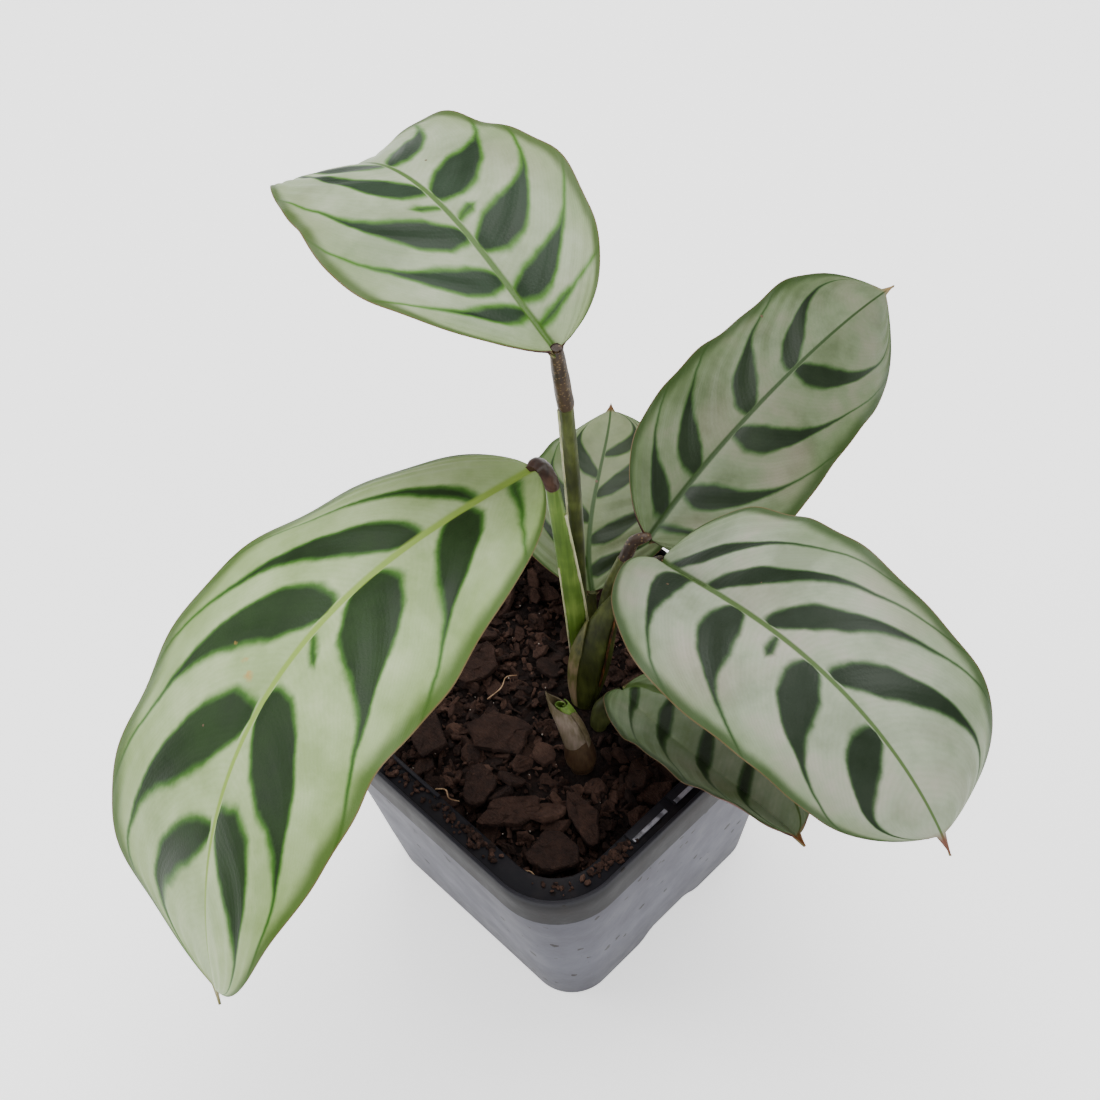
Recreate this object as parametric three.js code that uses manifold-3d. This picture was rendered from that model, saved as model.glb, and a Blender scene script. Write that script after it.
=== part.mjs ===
// A young ctenanthe in a square nursery pot.
// Millimetres, +Z up. The origin is the centre of the pot's base; the pot's sides face X and Y.
// Every leaf, stem, bark chip and the pot itself is a separate closed body.

import * as THREE from "three";
import { mergeVertices } from "three/addons/utils/BufferGeometryUtils.js";
import Module from "manifold-3d";

// ---- pot: a thin moulded square pot with a hanging skirt round its rim
const POT_HEIGHT = 57;          // floor to rim
const RIM_HALF = 35;            // half the outside width at the rim
const FOOT_HALF = 27;           // half the outside width at the foot
const SKIRT_DROP = 8.5;         // the skirt's height
const WALL = 0.8;               // plastic thickness
const RIM_RADIUS = 13;          // corner radius at the rim
const FOOT_RADIUS = 8.4;        // corner radius at the foot
const FLANGE_HALF = 30;         // half the opening inside the flat flange
const FLANGE_TOP = 55.9;        // the flange lies just below the rim's edge
const FLOOR_Z = 2.8;            // underside of the floor, inside the foot
const ARCH = { width: 17, rise: 2.1 };      // air gap in the middle of two foot edges
const DRAIN = { radius: 2.5, offset: 13 };  // four holes in the floor
const PAD_RADIUS = 5;           // a pad under the middle of the floor keeps it from sagging
const SOIL_TOP = 49.8;          // the compost lies about 7 mm below the rim
const GAP = 0.3;                // clearance between pieces that rest on each other
const BLADE = 0.4;              // leaf thickness

const radians = THREE.MathUtils.degToRad;

// ---- lofting: rings of equal point count joined into one closed body
function loft(rings) {
  const n = rings[0].length;
  const position = [];
  const index = [];
  for (const ring of rings) for (const p of ring) position.push(p.x, p.y, p.z);
  for (let i = 0; i + 1 < rings.length; i++) {
    for (let j = 0; j < n; j++) {
      const a = i * n + j, b = i * n + (j + 1) % n;
      index.push(a, b, b + n, a, b + n, a + n);
    }
  }
  for (const [ring, start, first] of [[rings[0], 0, true], [rings.at(-1), (rings.length - 1) * n, false]]) {
    const centre = ring.reduce((sum, p) => sum.add(p), new THREE.Vector3()).divideScalar(n);
    const c = position.length / 3;
    position.push(centre.x, centre.y, centre.z);
    for (let j = 0; j < n; j++) {
      const a = start + j, b = start + (j + 1) % n;
      index.push(...(first ? [c, b, a] : [c, a, b]));
    }
  }
  return outward(position, index);
}

// Turns a shell right side out and returns it as a geometry.
function outward(position, index) {
  const point = i => new THREE.Vector3(position[3 * i], position[3 * i + 1], position[3 * i + 2]);
  let volume = 0;
  for (let k = 0; k < index.length; k += 3) {
    volume += point(index[k]).dot(point(index[k + 1]).cross(point(index[k + 2])));
  }
  if (volume < 0) index.reverse();
  const geometry = new THREE.BufferGeometry();
  geometry.setAttribute("position", new THREE.Float32BufferAttribute(position, 3));
  geometry.setIndex(index);
  geometry.computeVertexNormals();
  return geometry;
}

// ---- boolean work on solids
const wasm = await Module();
wasm.setup();

function solid(geometry) {
  const bare = geometry.clone();
  bare.deleteAttribute("normal");
  bare.deleteAttribute("uv");
  const merged = mergeVertices(bare, 1e-4);
  return new wasm.Manifold(new wasm.Mesh({
    numProp: 3,
    vertProperties: new Float32Array(merged.attributes.position.array),
    triVerts: new Uint32Array(merged.index.array),
  }));
}

function surfaceOf(body) {
  const mesh = body.getMesh();
  const geometry = new THREE.BufferGeometry();
  geometry.setAttribute("position", new THREE.Float32BufferAttribute(Array.from(mesh.vertProperties), 3));
  geometry.setIndex(Array.from(mesh.triVerts));
  geometry.computeVertexNormals();
  return geometry;
}

const box = (x0, x1, y0, y1, z0, z1) =>
  new THREE.BoxGeometry(x1 - x0, y1 - y0, z1 - z0).translate((x0 + x1) / 2, (y0 + y1) / 2, (z0 + z1) / 2);

const plant = new THREE.Group();

function piece(name, geometry, color, roughness = 0.6) {
  const mesh = new THREE.Mesh(geometry, new THREE.MeshStandardMaterial({ color, roughness, metalness: 0 }));
  mesh.name = name;
  plant.add(mesh);
}

// ---- the pot
// One level of a square with rounded corners.
function level(half, radius, z, perCorner = 5) {
  const ring = [];
  for (let corner = 0; corner < 4; corner++) {
    for (let k = 0; k < perCorner; k++) {
      const angle = (corner + k / (perCorner - 1)) * Math.PI / 2;
      const sx = corner === 0 || corner === 3 ? 1 : -1;
      const sy = corner < 2 ? 1 : -1;
      ring.push(new THREE.Vector3(
        sx * (half - radius) + radius * Math.cos(angle),
        sy * (half - radius) + radius * Math.sin(angle), z));
    }
  }
  return ring;
}

const SKIRT_Z = POT_HEIGHT - SKIRT_DROP;
const WALL_TOP_HALF = 33.3;
const INNER_TOP = WALL_TOP_HALF - WALL;
const FLOOR_INSIDE = FLOOR_Z + 1;
const innerHalf = z => FOOT_HALF - WALL + (WALL_TOP_HALF - FOOT_HALF) * Math.min(z / SKIRT_Z, 1);

let pot = solid(loft([
  level(FOOT_HALF - WALL, 7.6, FLOOR_Z),
  level(FOOT_HALF - WALL, 7.6, 0),
  level(FOOT_HALF, FOOT_RADIUS, 0),
  level(WALL_TOP_HALF, 12, SKIRT_Z),
  level(WALL_TOP_HALF, 12, FLANGE_TOP - 1),
  level(RIM_HALF - 1, 12.2, FLANGE_TOP - 1),
  level(RIM_HALF - 1.1, 12.1, SKIRT_Z),
  level(RIM_HALF - 0.3, 12.8, SKIRT_Z),
  level(RIM_HALF, RIM_RADIUS, POT_HEIGHT),
  level(RIM_HALF - WALL, RIM_RADIUS - WALL, POT_HEIGHT),
  level(RIM_HALF - WALL, RIM_RADIUS - WALL, FLANGE_TOP),
  level(FLANGE_HALF, 9, FLANGE_TOP),
  level(FLANGE_HALF, 9, FLANGE_TOP - 1),
  level(INNER_TOP, 11.2, FLANGE_TOP - 1),
  level(INNER_TOP, 11.2, SKIRT_Z),
  level(innerHalf(FLOOR_INSIDE), 7.9, FLOOR_INSIDE),
]));

// Label holder on the +X flange: two low bars with a slot between them, and a short rib on the -Y flange.
const HOLDER = { from: -14, slot: -4.6, to: 4.8 };
for (const bar of [
  box(30.2, 32.9, HOLDER.from, HOLDER.slot - 0.9, FLANGE_TOP - 0.5, FLANGE_TOP + 0.7),
  box(30.2, 32.9, HOLDER.slot + 0.9, HOLDER.to, FLANGE_TOP - 0.5, FLANGE_TOP + 0.7),
  box(-11, 2, -30.9, -30.1, FLANGE_TOP - 0.5, FLANGE_TOP + 0.8),
]) pot = pot.add(solid(bar));

pot = pot.add(solid(new THREE.CylinderGeometry(PAD_RADIUS, PAD_RADIUS, FLOOR_Z + 0.5, 16)
  .rotateX(Math.PI / 2).translate(0, 0, (FLOOR_Z + 0.5) / 2)));

const arch = new THREE.Shape([
  [-0.5, -1], [-0.5, 0], [-0.32, 0.85], [-0.2, 1], [0.2, 1], [0.32, 0.85], [0.5, 0], [0.5, -1],
].map(([across, up]) => new THREE.Vector2(across * ARCH.width, up * ARCH.rise)));
const archCutter = new THREE.ExtrudeGeometry(arch, { depth: 4, bevelEnabled: false })
  .rotateX(Math.PI / 2).rotateZ(Math.PI / 2);
for (const side of [FOOT_HALF - 3, -FOOT_HALF - 1]) {
  pot = pot.subtract(solid(archCutter.clone().translate(side, 0, 0)));
}
for (const x of [-1, 1]) for (const y of [-1, 1]) {
  pot = pot.subtract(solid(new THREE.CylinderGeometry(DRAIN.radius, DRAIN.radius, 6, 12)
    .rotateX(Math.PI / 2).translate(x * DRAIN.offset, y * DRAIN.offset, FLOOR_Z)));
}
piece("pot", surfaceOf(pot), 0x6f7076, 0.45);

// ---- the compost: one block inside the pot with a slightly domed top
piece("substrate", loft([
  level(innerHalf(FLOOR_INSIDE + GAP) - GAP, 7.5, FLOOR_INSIDE + GAP),
  level(INNER_TOP - GAP, 10.9, SKIRT_Z - 0.2),
  level(30, 9.5, SOIL_TOP - 0.6),
  level(16, 6, SOIL_TOP),
]), 0x2e1e18, 0.95);

// Flat chips of bark lying on it: centre, length, width, thickness, heading and tilt.
const CHIPS = [
  { at: [-1.5, -13, 51.9], size: [12.5, 9.5, 2.2], heading: 20, tilt: 7 },
  { at: [11.5, -22.5, 51.8], size: [11, 5.5, 2.4], heading: 62, tilt: 5 },
  { at: [21.5, -15, 51.9], size: [11, 5, 2.6], heading: -28, tilt: 6 },
  { at: [22.5, -23.5, 52.2], size: [9.5, 7.5, 2.4], heading: 35, tilt: -8 },
  { at: [-12.5, -21, 51.8], size: [10, 6, 2], heading: -20, tilt: 6 },
  { at: [3, -23, 51.7], size: [7.5, 5, 2], heading: -50, tilt: -6 },
  { at: [-16, -5, 51.9], size: [9, 7, 2.2], heading: 75, tilt: 7 },
  { at: [-20, 20, 52], size: [10, 7, 2.4], heading: 30, tilt: 6 },
  { at: [18, 21, 51.9], size: [9, 7, 2.2], heading: -15, tilt: -7 },
];
CHIPS.forEach(({ at, size, heading, tilt }, number) => {
  const corners = 7;
  const slab = [[0.82, -0.5], [1, -0.1], [0.95, 0.3], [0.7, 0.5]].map(([grow, up]) =>
    Array.from({ length: corners }, (_, k) => {
      const angle = 2 * Math.PI * k / corners;
      const ragged = 1 + 0.13 * Math.sin(2.3 * k + 1.7 * number);
      return new THREE.Vector3(
        0.5 * size[0] * grow * ragged * Math.cos(angle), 0.5 * size[1] * grow * ragged * Math.sin(angle),
        size[2] * up);
    }));
  piece(`bark_chip_${number + 1}`, loft(slab)
    .rotateX(radians(tilt)).rotateZ(radians(heading)).translate(...at), 0x3b2720, 0.95);
});

// ---- stems: each is swept along a curve; every knot is [x, y, z, half breadth, half thickness]
// and `broad` is the compass heading of the broad direction.
function stem(knots, broad, stations = 7, around = 8) {
  const curve = new THREE.CatmullRomCurve3(knots.map(([x, y, z]) => new THREE.Vector3(x, y, z)));
  const heading = new THREE.Vector3(Math.cos(radians(broad)), Math.sin(radians(broad)), 0);
  const rings = [];
  for (let i = 0; i < stations; i++) {
    const t = i / (stations - 1);
    const centre = curve.getPoint(t);
    const tangent = curve.getTangent(t);
    const across = heading.clone().addScaledVector(tangent, -heading.dot(tangent)).normalize();
    const through = tangent.clone().cross(across);
    const along = t * (knots.length - 1);
    const k = Math.min(Math.floor(along), knots.length - 2);
    const breadth = THREE.MathUtils.lerp(knots[k][3], knots[k + 1][3], along - k);
    const depth = THREE.MathUtils.lerp(knots[k][4], knots[k + 1][4], along - k);
    rings.push(Array.from({ length: around }, (_, j) => {
      const angle = 2 * Math.PI * j / around;
      return centre.clone().addScaledVector(across, breadth * Math.cos(angle))
        .addScaledVector(through, depth * Math.sin(angle));
    }));
  }
  // a stem that rises from the compost is cut level where it meets it
  if (knots[0][2] < SOIL_TOP + 1) for (const point of rings[0]) point.z = knots[0][2];
  return loft(rings);
}

const OLIVE = 0x4c5a2c, GREEN = 0x6c8f3f, BROWN = 0x5a4035;
// The main sheath wraps the bases of two leaf stalks; two more stalks rise behind it.
piece("sheath_main", stem([
  [3.6, 3.6, 50.3, 2.3, 2.1], [3.2, 5.4, 57, 3.9, 2.1], [3.1, 7.4, 63, 3.7, 1.9], [3.3, 9.9, 67.6, 2.6, 1.6],
], 50), OLIVE);
piece("sheath_low", stem([
  [9, 1.4, 50.3, 1.6, 1.4], [9.3, 3.2, 53.4, 2.2, 1.5], [9.9, 5, 56.4, 1.1, 0.9],
], 30, 6), OLIVE);
piece("petiole_top", stem([
  [-3.3, 10.2, 50.3, 1.2, 1.1], [-3.2, 10.4, 66, 1.2, 1.1], [-2.9, 10.6, 84, 1.2, 1.1],
  [-1.5, 9.5, 100, 1.2, 1.1], [2.6, 5.6, 126.8, 1.2, 1.1],
], 50, 9), OLIVE);
piece("pulvinus_top", stem([
  [2.7, 5.5, 127.2, 1.2, 1.2], [3.9, 3.9, 135, 1.2, 1.2], [5.2, 2.3, 142.4, 0.9, 0.8],
], 50, 6), BROWN);
piece("petiole_front", stem([
  [-1.2, 7.6, 50.3, 1.7, 1.2], [-1.2, 7.6, 60, 1.9, 1.2], [-1.4, 7.4, 72, 2, 1.2],
  [-2, 6.9, 86, 1.8, 1.2], [-2.5, 5.8, 104, 1.3, 1.1],
], 50, 9), GREEN);
piece("pulvinus_front", stem([
  [-2.5, 5.7, 104.4, 1.3, 1.2], [-2.4, 4.4, 109, 1.5, 1.3], [-1.6, 2.6, 112.4, 1.2, 1],
], 0, 6), BROWN);
piece("petiole_back", stem([
  [1.2, 12, 68.4, 1.2, 1.1], [0.7, 14.8, 72, 1.2, 1.1], [1, 17.6, 76, 1.2, 1.1],
], 50, 6), OLIVE);
piece("pulvinus_back", stem([
  [1.1, 17.9, 76.4, 1.2, 1.2], [1.7, 19.2, 80, 1.3, 1.3], [3, 20.8, 81.3, 1.1, 0.9],
], -10, 6), BROWN);
piece("petiole_side", stem([
  [4.6, 11.4, 68.4, 1.2, 1.1], [6, 12.6, 73, 1.2, 1.1], [8.2, 13.9, 79, 1.2, 1.1],
], 50, 6), OLIVE);
piece("pulvinus_side", stem([
  [8.4, 14, 79.4, 1.2, 1.2], [9.7, 14.8, 84, 1.3, 1.3], [11.3, 15.5, 87.2, 1.1, 0.8],
], 70, 6), BROWN);
piece("petiole_hind", stem([
  [-6.2, 15, 50.3, 1.1, 1], [-6.7, 16, 55, 1.1, 1], [-7.1, 17, 58.9, 0.9, 0.7],
], 50, 5), OLIVE);
// The new shoot: a scale leaf round its foot, a pointed sheath and the rolled leaf inside it.
piece("shoot_scale", stem([
  [12.6, -6.4, 50.3, 2.1, 2.1], [12.2, -6.4, 53, 2.8, 2.6], [11.5, -6.3, 56.6, 2.3, 2.1],
], 50, 6), 0x5b4438);
piece("shoot_sheath", stem([
  [11.4, -6.3, 57, 2.2, 2.1], [10, -6.4, 60.5, 2.1, 1.9], [7.6, -6.9, 65, 1.4, 1.2], [6.1, -7.2, 68, 0.5, 0.5],
], 50, 7), 0x6d6450);
piece("shoot_leaf", stem([
  [11.5, -3.3, 59.8, 0.6, 0.5], [10.2, -3.7, 62.6, 0.9, 0.7], [8.6, -4.4, 65.4, 0.7, 0.6],
], 50, 5), GREEN);

// A thin closed sheet between two grids of points; both faces are cut along the same diagonals, so that
// they stay one thickness apart however the sheet twists.
function sheet(upper, lower) {
  const rows = upper.length, columns = upper[0].length, under = rows * columns;
  const position = [...upper.flat(), ...lower.flat()].flatMap(p => [p.x, p.y, p.z]);
  const index = [];
  for (let i = 0; i + 1 < rows; i++) {
    for (let j = 0; j + 1 < columns; j++) {
      const a = i * columns + j, b = a + 1, c = b + columns, d = a + columns;
      index.push(a, b, c, a, c, d);
      index.push(under + a, under + c, under + b, under + a, under + d, under + c);
    }
  }
  const rim = [];
  for (let j = 0; j < columns; j++) rim.push(j);
  for (let i = 1; i < rows; i++) rim.push(i * columns + columns - 1);
  for (let j = columns - 2; j >= 0; j--) rim.push((rows - 1) * columns + j);
  for (let i = rows - 2; i > 0; i--) rim.push(i * columns);
  rim.forEach((a, k) => {
    const b = rim[(k + 1) % rim.length];
    index.push(a, under + a, under + b, a, under + b, b);
  });
  return outward(position, index);
}

// ---- leaves: a blade follows a curving, rolling midrib, with each half lifted and curled on its own.
// Lists are values along the blade from foot to tip (degrees or mm), blended by Bernstein polynomials;
// left and right are as seen looking from foot to tip.
function blended(values, u) {
  const d = values.length - 1;
  let sum = 0, choose = 1;
  for (let i = 0; i <= d; i++) {
    sum += values[i] * choose * (1 - u) ** (d - i) * u ** i;
    choose = choose * (d - i) / (i + 1);
  }
  return sum;
}

function fullness(u, [foot, tip]) {
  return u < 0.5 ? Math.sqrt(1 - (1 - 2 * u) ** foot) : Math.sqrt(Math.max(0, 1 - (2 * u - 1) ** tip));
}

function blade(leaf, stations = 11, across = 3) {
  const STEPS = 120, ARC = 12;
  const direction = u => {
    const heading = radians(blended(leaf.heading, u)), pitch = radians(blended(leaf.pitch, u));
    return new THREE.Vector3(
      Math.cos(pitch) * Math.cos(heading), Math.cos(pitch) * Math.sin(heading), Math.sin(pitch));
  };
  const midrib = [new THREE.Vector3(...leaf.foot)];
  for (let i = 0; i < STEPS; i++) {
    midrib.push(midrib[i].clone().addScaledVector(direction((i + 0.5) / STEPS), leaf.length / STEPS));
  }
  const upper = [], lower = [];
  for (let i = 0; i < stations; i++) {
    const u = Math.min(Math.max((1 - Math.cos(Math.PI * i / (stations - 1))) / 2, 0.003), 0.997);
    const place = u * STEPS, whole = Math.floor(place);
    const centre = midrib[whole].clone().lerp(midrib[whole + 1], place - whole);
    const heading = radians(blended(leaf.heading, u)), roll = radians(blended(leaf.roll, u));
    const level0 = new THREE.Vector3(Math.sin(heading), -Math.cos(heading), 0);
    const up0 = level0.clone().cross(direction(u));
    const right = level0.clone().multiplyScalar(Math.cos(roll)).addScaledVector(up0, Math.sin(roll));
    const up = up0.clone().multiplyScalar(Math.cos(roll)).addScaledVector(level0, -Math.sin(roll));
    const top = [], under = [];
    for (let j = -across; j <= across; j++) {
      const side = j < 0 ? "left" : "right";
      const v = Math.abs(j) / across;
      const width = fullness(u, leaf.full) * blended(leaf.half[side], u);
      const lift = blended(leaf.lift[side], u), curl = blended(leaf.curl[side], u);
      let out = 0, rise = 0;
      for (let k = 0; k < ARC; k++) {
        const bend = radians(lift + curl * v * (k + 0.5) / ARC);
        out += Math.cos(bend) * width * v / ARC;
        rise += Math.sin(bend) * width * v / ARC;
      }
      const bend = radians(lift + curl * v) * (j < 0 ? -1 : 1) * (j === 0 ? 0 : 1);
      const normal = up.clone().multiplyScalar(Math.cos(bend)).addScaledVector(right, -Math.sin(bend));
      const p = centre.clone().addScaledVector(right, Math.sign(j) * out).addScaledVector(up, rise);
      top.push(p);
      under.push(p.clone().addScaledVector(normal, -BLADE));
    }
    upper.push(top);
    lower.push(under);
  }
  return sheet(upper, lower);
}

const LEAVES = {
  leaf_top: {
    foot: [5.5, 2, 143], length: 69, full: [2.6, 2.8],
    heading: [172, 163, 190], pitch: [21, 23, -17, -72], roll: [1, 11, -23],
    half: { left: [16, 25, 17.5, 13.5], right: [18, 22, 13, 12.5] },
    lift: { left: [25, -13, 26], right: [26, 3, -6] },
    curl: { left: [12, -22, -23], right: [-32, -3, 42] },
  },
  leaf_front: {
    foot: [-1, 1, 113.5], length: 100, full: [2.8, 3.2],
    heading: [-101, -91, -40], pitch: [0, 5, -27, -65], roll: [0, 16, -49],
    half: { left: [20.5, 21, 26.5, 17], right: [17.5, 19, 29, 29.5] },
    lift: { left: [20, -6, 29], right: [22, 11, -13] },
    curl: { left: [-13, -39, -42], right: [-64, -44, 16] },
  },
  leaf_back: {
    foot: [3.5, 21.5, 81], length: 73, full: [2.8, 3.5],
    heading: [102, 89, 93], pitch: [6, 7, 9, -13], roll: [-21, -5, -10],
    half: { left: [16.5, 16.5, 10, 19], right: [21.5, 19.5, 13.5, 20.5] },
    lift: { left: [27, 7, -19], right: [3, -5, -50] },
    curl: { left: [7, 11, 25], right: [-30, -16, -4] },
  },
  leaf_side: {
    foot: [12, 15.5, 88], length: 73, full: [2.7, 3.7],
    heading: [-16, -4, -13], pitch: [29, 31, 3, -45], roll: [3, -26, -5],
    half: { left: [19.5, 19.5, 16.5, 24.5], right: [18, 22, 13.5, 19.5] },
    lift: { left: [33, 19, -10], right: [36, -10, -24] },
    curl: { left: [-13, -38, -35], right: [-2, -22, -20] },
  },
  leaf_low: {
    foot: [10.5, 6.5, 57.5], length: 47, full: [2.2, 3.3],
    heading: [-16, 3, -13], pitch: [14, 13, 16, 15], roll: [0, 4, 10],
    half: { left: [12.5, 13.5, 12.5, 11], right: [11, 14.5, 11.5, 12] },
    lift: { left: [35, 33, 36], right: [34, 37, 46] },
    curl: { left: [3, 1, 1], right: [10, -3, -14] },
  },
  leaf_hind: {
    foot: [-7.5, 17.5, 59.5], length: 39, full: [2.4, 2.9],
    heading: [145, 109, 131], pitch: [23, 20, 8, -1], roll: [-10, 1, -1],
    half: { left: [12, 20, 13.5, 8.5], right: [12.5, 20, 15.5, 12.5] },
    lift: { left: [21, 4, -9], right: [8, 4, -10] },
    curl: { left: [8, -9, -20], right: [-8, -9, -14] },
  },
};
for (const [name, leaf] of Object.entries(LEAVES)) {
  const small = leaf.length < 60;
  piece(name, blade(leaf, small ? 9 : 13, small ? 2 : 3), name === "leaf_front" ? 0xa3b183 : 0x9aa58f, 0.5);
}

export default plant;
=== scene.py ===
import math
import bpy
import numpy as np
from mathutils import Matrix, Vector, noise


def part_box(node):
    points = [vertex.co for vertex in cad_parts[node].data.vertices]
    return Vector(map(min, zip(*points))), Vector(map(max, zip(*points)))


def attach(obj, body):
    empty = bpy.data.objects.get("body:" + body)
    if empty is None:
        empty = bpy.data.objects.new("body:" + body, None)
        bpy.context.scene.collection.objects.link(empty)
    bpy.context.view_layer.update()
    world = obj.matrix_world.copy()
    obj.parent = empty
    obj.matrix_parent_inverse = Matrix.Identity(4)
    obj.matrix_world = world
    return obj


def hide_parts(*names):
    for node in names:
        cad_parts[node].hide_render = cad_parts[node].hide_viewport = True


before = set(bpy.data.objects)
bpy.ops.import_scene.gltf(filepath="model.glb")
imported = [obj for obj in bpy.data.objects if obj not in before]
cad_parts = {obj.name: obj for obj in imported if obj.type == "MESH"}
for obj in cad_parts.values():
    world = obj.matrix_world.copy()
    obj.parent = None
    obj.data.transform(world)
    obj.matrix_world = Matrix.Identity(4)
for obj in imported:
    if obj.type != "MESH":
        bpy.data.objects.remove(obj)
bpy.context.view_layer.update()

# ---------------------------------------------------------------- camera
# A standard lens about 0.3 m from the plant, looking down at it over the pot's near corner.
heading, climb, roll = (math.radians(angle) for angle in (49.6, 51.8, -5.8))
level = Vector((math.cos(heading), math.sin(heading), 0))
back = Vector((math.sin(heading) * math.cos(climb), -math.cos(heading) * math.cos(climb), math.sin(climb)))
upright = back.cross(level)
right = math.cos(roll) * level + math.sin(roll) * upright
above = -math.sin(roll) * level + math.cos(roll) * upright
camera = bpy.data.objects.new("camera", bpy.data.cameras.new("camera"))
camera.data.lens = 55.64
camera.data.sensor_width = 36
camera.matrix_world = Matrix.Translation((0.1309, -0.1095, 0.3115)) @ Matrix((right, above,
    back)).transposed().to_4x4()
bpy.context.collection.objects.link(camera)
bpy.context.scene.camera = camera


# ---------------------------------------------------------------- nursery pot
# A square 7 cm pot of thin smoke-grey polypropylene, injection moulded in one piece. A flat flange runs
# round inside the rim with a slotted holder for a label, a skirt hangs outside it, and the foot has an air
# gap in the middle of two sides. It is dusty, with specks of compost dried on it.
MM = 0.001


def rounded_square(half, radius, z, corner=14, side=26):
    """One level of the pot: points round a square with rounded corners, in mm."""
    points = []
    for quarter in range(4):
        turn = np.array([[0, -1], [1, 0]])
        spin = np.linalg.matrix_power(turn, quarter)
        for angle in np.linspace(0, math.pi / 2, corner, endpoint=False):
            points.append(spin @ (half - radius + radius * math.cos(angle),
                                  half - radius + radius * math.sin(angle)))
        for along in np.linspace(1, -1, side, endpoint=False):
            points.append(spin @ (along * (half - radius), half))
    points = np.array(points)
    return np.column_stack([points, np.full(len(points), float(z))])


def skin(name, rings, capped=True, sharp=40):
    """A mesh object through rings of equal point count, in mm, closed at both ends when capped."""
    rings = np.asarray(rings, float)
    count, size = rings.shape[:2]
    faces = []
    for i in range(count - 1):
        for j in range(size):
            a, b = i * size + j, i * size + (j + 1) % size
            faces.append((a, b, b + size, a + size))
    if capped:
        faces += [tuple(range(size))[::-1], tuple(range((count - 1) * size, count * size))]
    mesh = bpy.data.meshes.new(name)
    mesh.from_pydata((rings.reshape(-1, 3) * MM).tolist(), [], faces)
    mesh.shade_smooth()
    mesh.set_sharp_from_angle(angle=math.radians(sharp))
    thing = bpy.data.objects.new(name, mesh)
    bpy.context.collection.objects.link(thing)
    return thing


def finish_piece(thing, material, node_names):
    thing.data.materials.clear()
    thing.data.materials.append(material)
    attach(thing, "root")
    if node_names:
        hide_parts(*node_names)


def colour(code):
    """An sRGB hex colour as linear RGBA."""
    parts = [int(code[i:i + 2], 16) / 255 for i in (1, 3, 5)]
    return [p / 12.92 if p <= 0.04045 else ((p + 0.055) / 1.055) ** 2.4 for p in parts] + [1]


def add(tree, kind, settings=None, inputs=None):
    """Adds a shader node, sets it up, links sockets or nodes into it and sets its other values."""
    made = tree.nodes.new(kind if kind.startswith("NodeGroup") else "ShaderNode" + kind)
    for key, value in (settings or {}).items():
        if key == "stops":
            ramp = made.color_ramp.elements
            while len(ramp) < len(value):
                ramp.new(1)
            for element, (position, shade) in zip(ramp, value):
                element.position = position
                element.color = colour(shade) if isinstance(shade, str) else [shade, shade, shade, 1]
        else:
            setattr(made, key, value)
    for key, value in (inputs or {}).items():
        open_sockets = [s for s in made.inputs if not s.is_unavailable]
        target = made.inputs[key] if isinstance(key, int) else next(s for s in open_sockets if s.name == key)
        if isinstance(value, bpy.types.Node):
            value = next(s for s in value.outputs if not s.is_unavailable)
        if isinstance(value, bpy.types.NodeSocket):
            tree.links.new(value, target)
        else:
            target.default_value = value
    return made


def stretch(tree, value, low, high, to_low=0.0, to_high=1.0, smooth=False):
    """A value carried over from the range low to high into the range to_low to to_high."""
    settings = {"interpolation_type": "SMOOTHSTEP"} if smooth else {}
    return add(tree, "MapRange", settings, {
        "Value": value, "From Min": low, "From Max": high, "To Min": to_low, "To Max": to_high})


def maths(tree, operation, *values):
    return add(tree, "Math", {"operation": operation}, dict(enumerate(values)))


def mix_colours(tree, factor, first, second):
    return add(tree, "Mix", {"data_type": "RGBA"}, {"Factor": factor, "A": first, "B": second})


def tone_ramp(tree, value, stops):
    """A value turned into tones; each stop is a place from 0 to 1 with a hex colour or a number."""
    return add(tree, "ValToRGB", {"stops": stops}, {0: value})


def noise_at(tree, vector, scale, detail=2.0, roughness=0.5):
    return add(tree, "TexNoise", inputs={
        "Vector": vector, "Scale": scale, "Detail": detail, "Roughness": roughness})


def bumped(tree, height, strength, distance):
    return add(tree, "Bump", inputs={"Height": height, "Strength": strength, "Distance": distance})


def new_material(name):
    material = bpy.data.materials.new(name)
    material.use_nodes = True
    material.node_tree.nodes.clear()
    return material, material.node_tree


def finish_material(tree, **sockets):
    shader = add(tree, "BsdfPrincipled", inputs={
        key.replace("_", " "): value for key, value in sockets.items()})
    add(tree, "OutputMaterial", inputs={"Surface": shader})


# foot, wall, skirt, rim and flange, followed from the underside round to the inside of the floor
pot_low, pot_high = (np.array(corner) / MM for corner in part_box("pot"))
rim_half, rim_z = pot_high[0], pot_high[2]
skirt_z, flange_z = rim_z - 8.5, rim_z - 1.1
outline = [
    (26.2, 7.6, 2.8), (26.2, 7.6, 0.2), (26.4, 7.8, 0), (26.8, 8.2, 0), (27.0, 8.4, 0.2),
    (28.6, 9.3, 12), (30.1, 10.2, 24), (31.7, 11.1, 36), (33.3, 12, skirt_z), (33.3, 12, flange_z - 1),
    (34, 12.2, flange_z - 1), (33.9, 12.1, skirt_z + 0.1), (34.1, 12.3, skirt_z), (34.5, 12.7, skirt_z),
    (34.7, 12.8, skirt_z + 0.2), (34.86, 12.9, rim_z - 4), (rim_half, 13, rim_z - 0.3),
    (34.85, 12.85, rim_z), (34.35, 12.35, rim_z), (34.2, 12.2, rim_z - 0.2), (34.2, 12.2, flange_z + 0.2),
    (33.9, 12, flange_z), (30.2, 9.1, flange_z), (30, 9, flange_z - 0.2), (30, 9, flange_z - 0.9),
    (32.5, 11.2, flange_z - 1), (32.5, 11.2, skirt_z), (29.6, 9.6, 24), (26.9, 7.9, 4), (26.4, 7.6, 3.8),
]
levels = []
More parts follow.
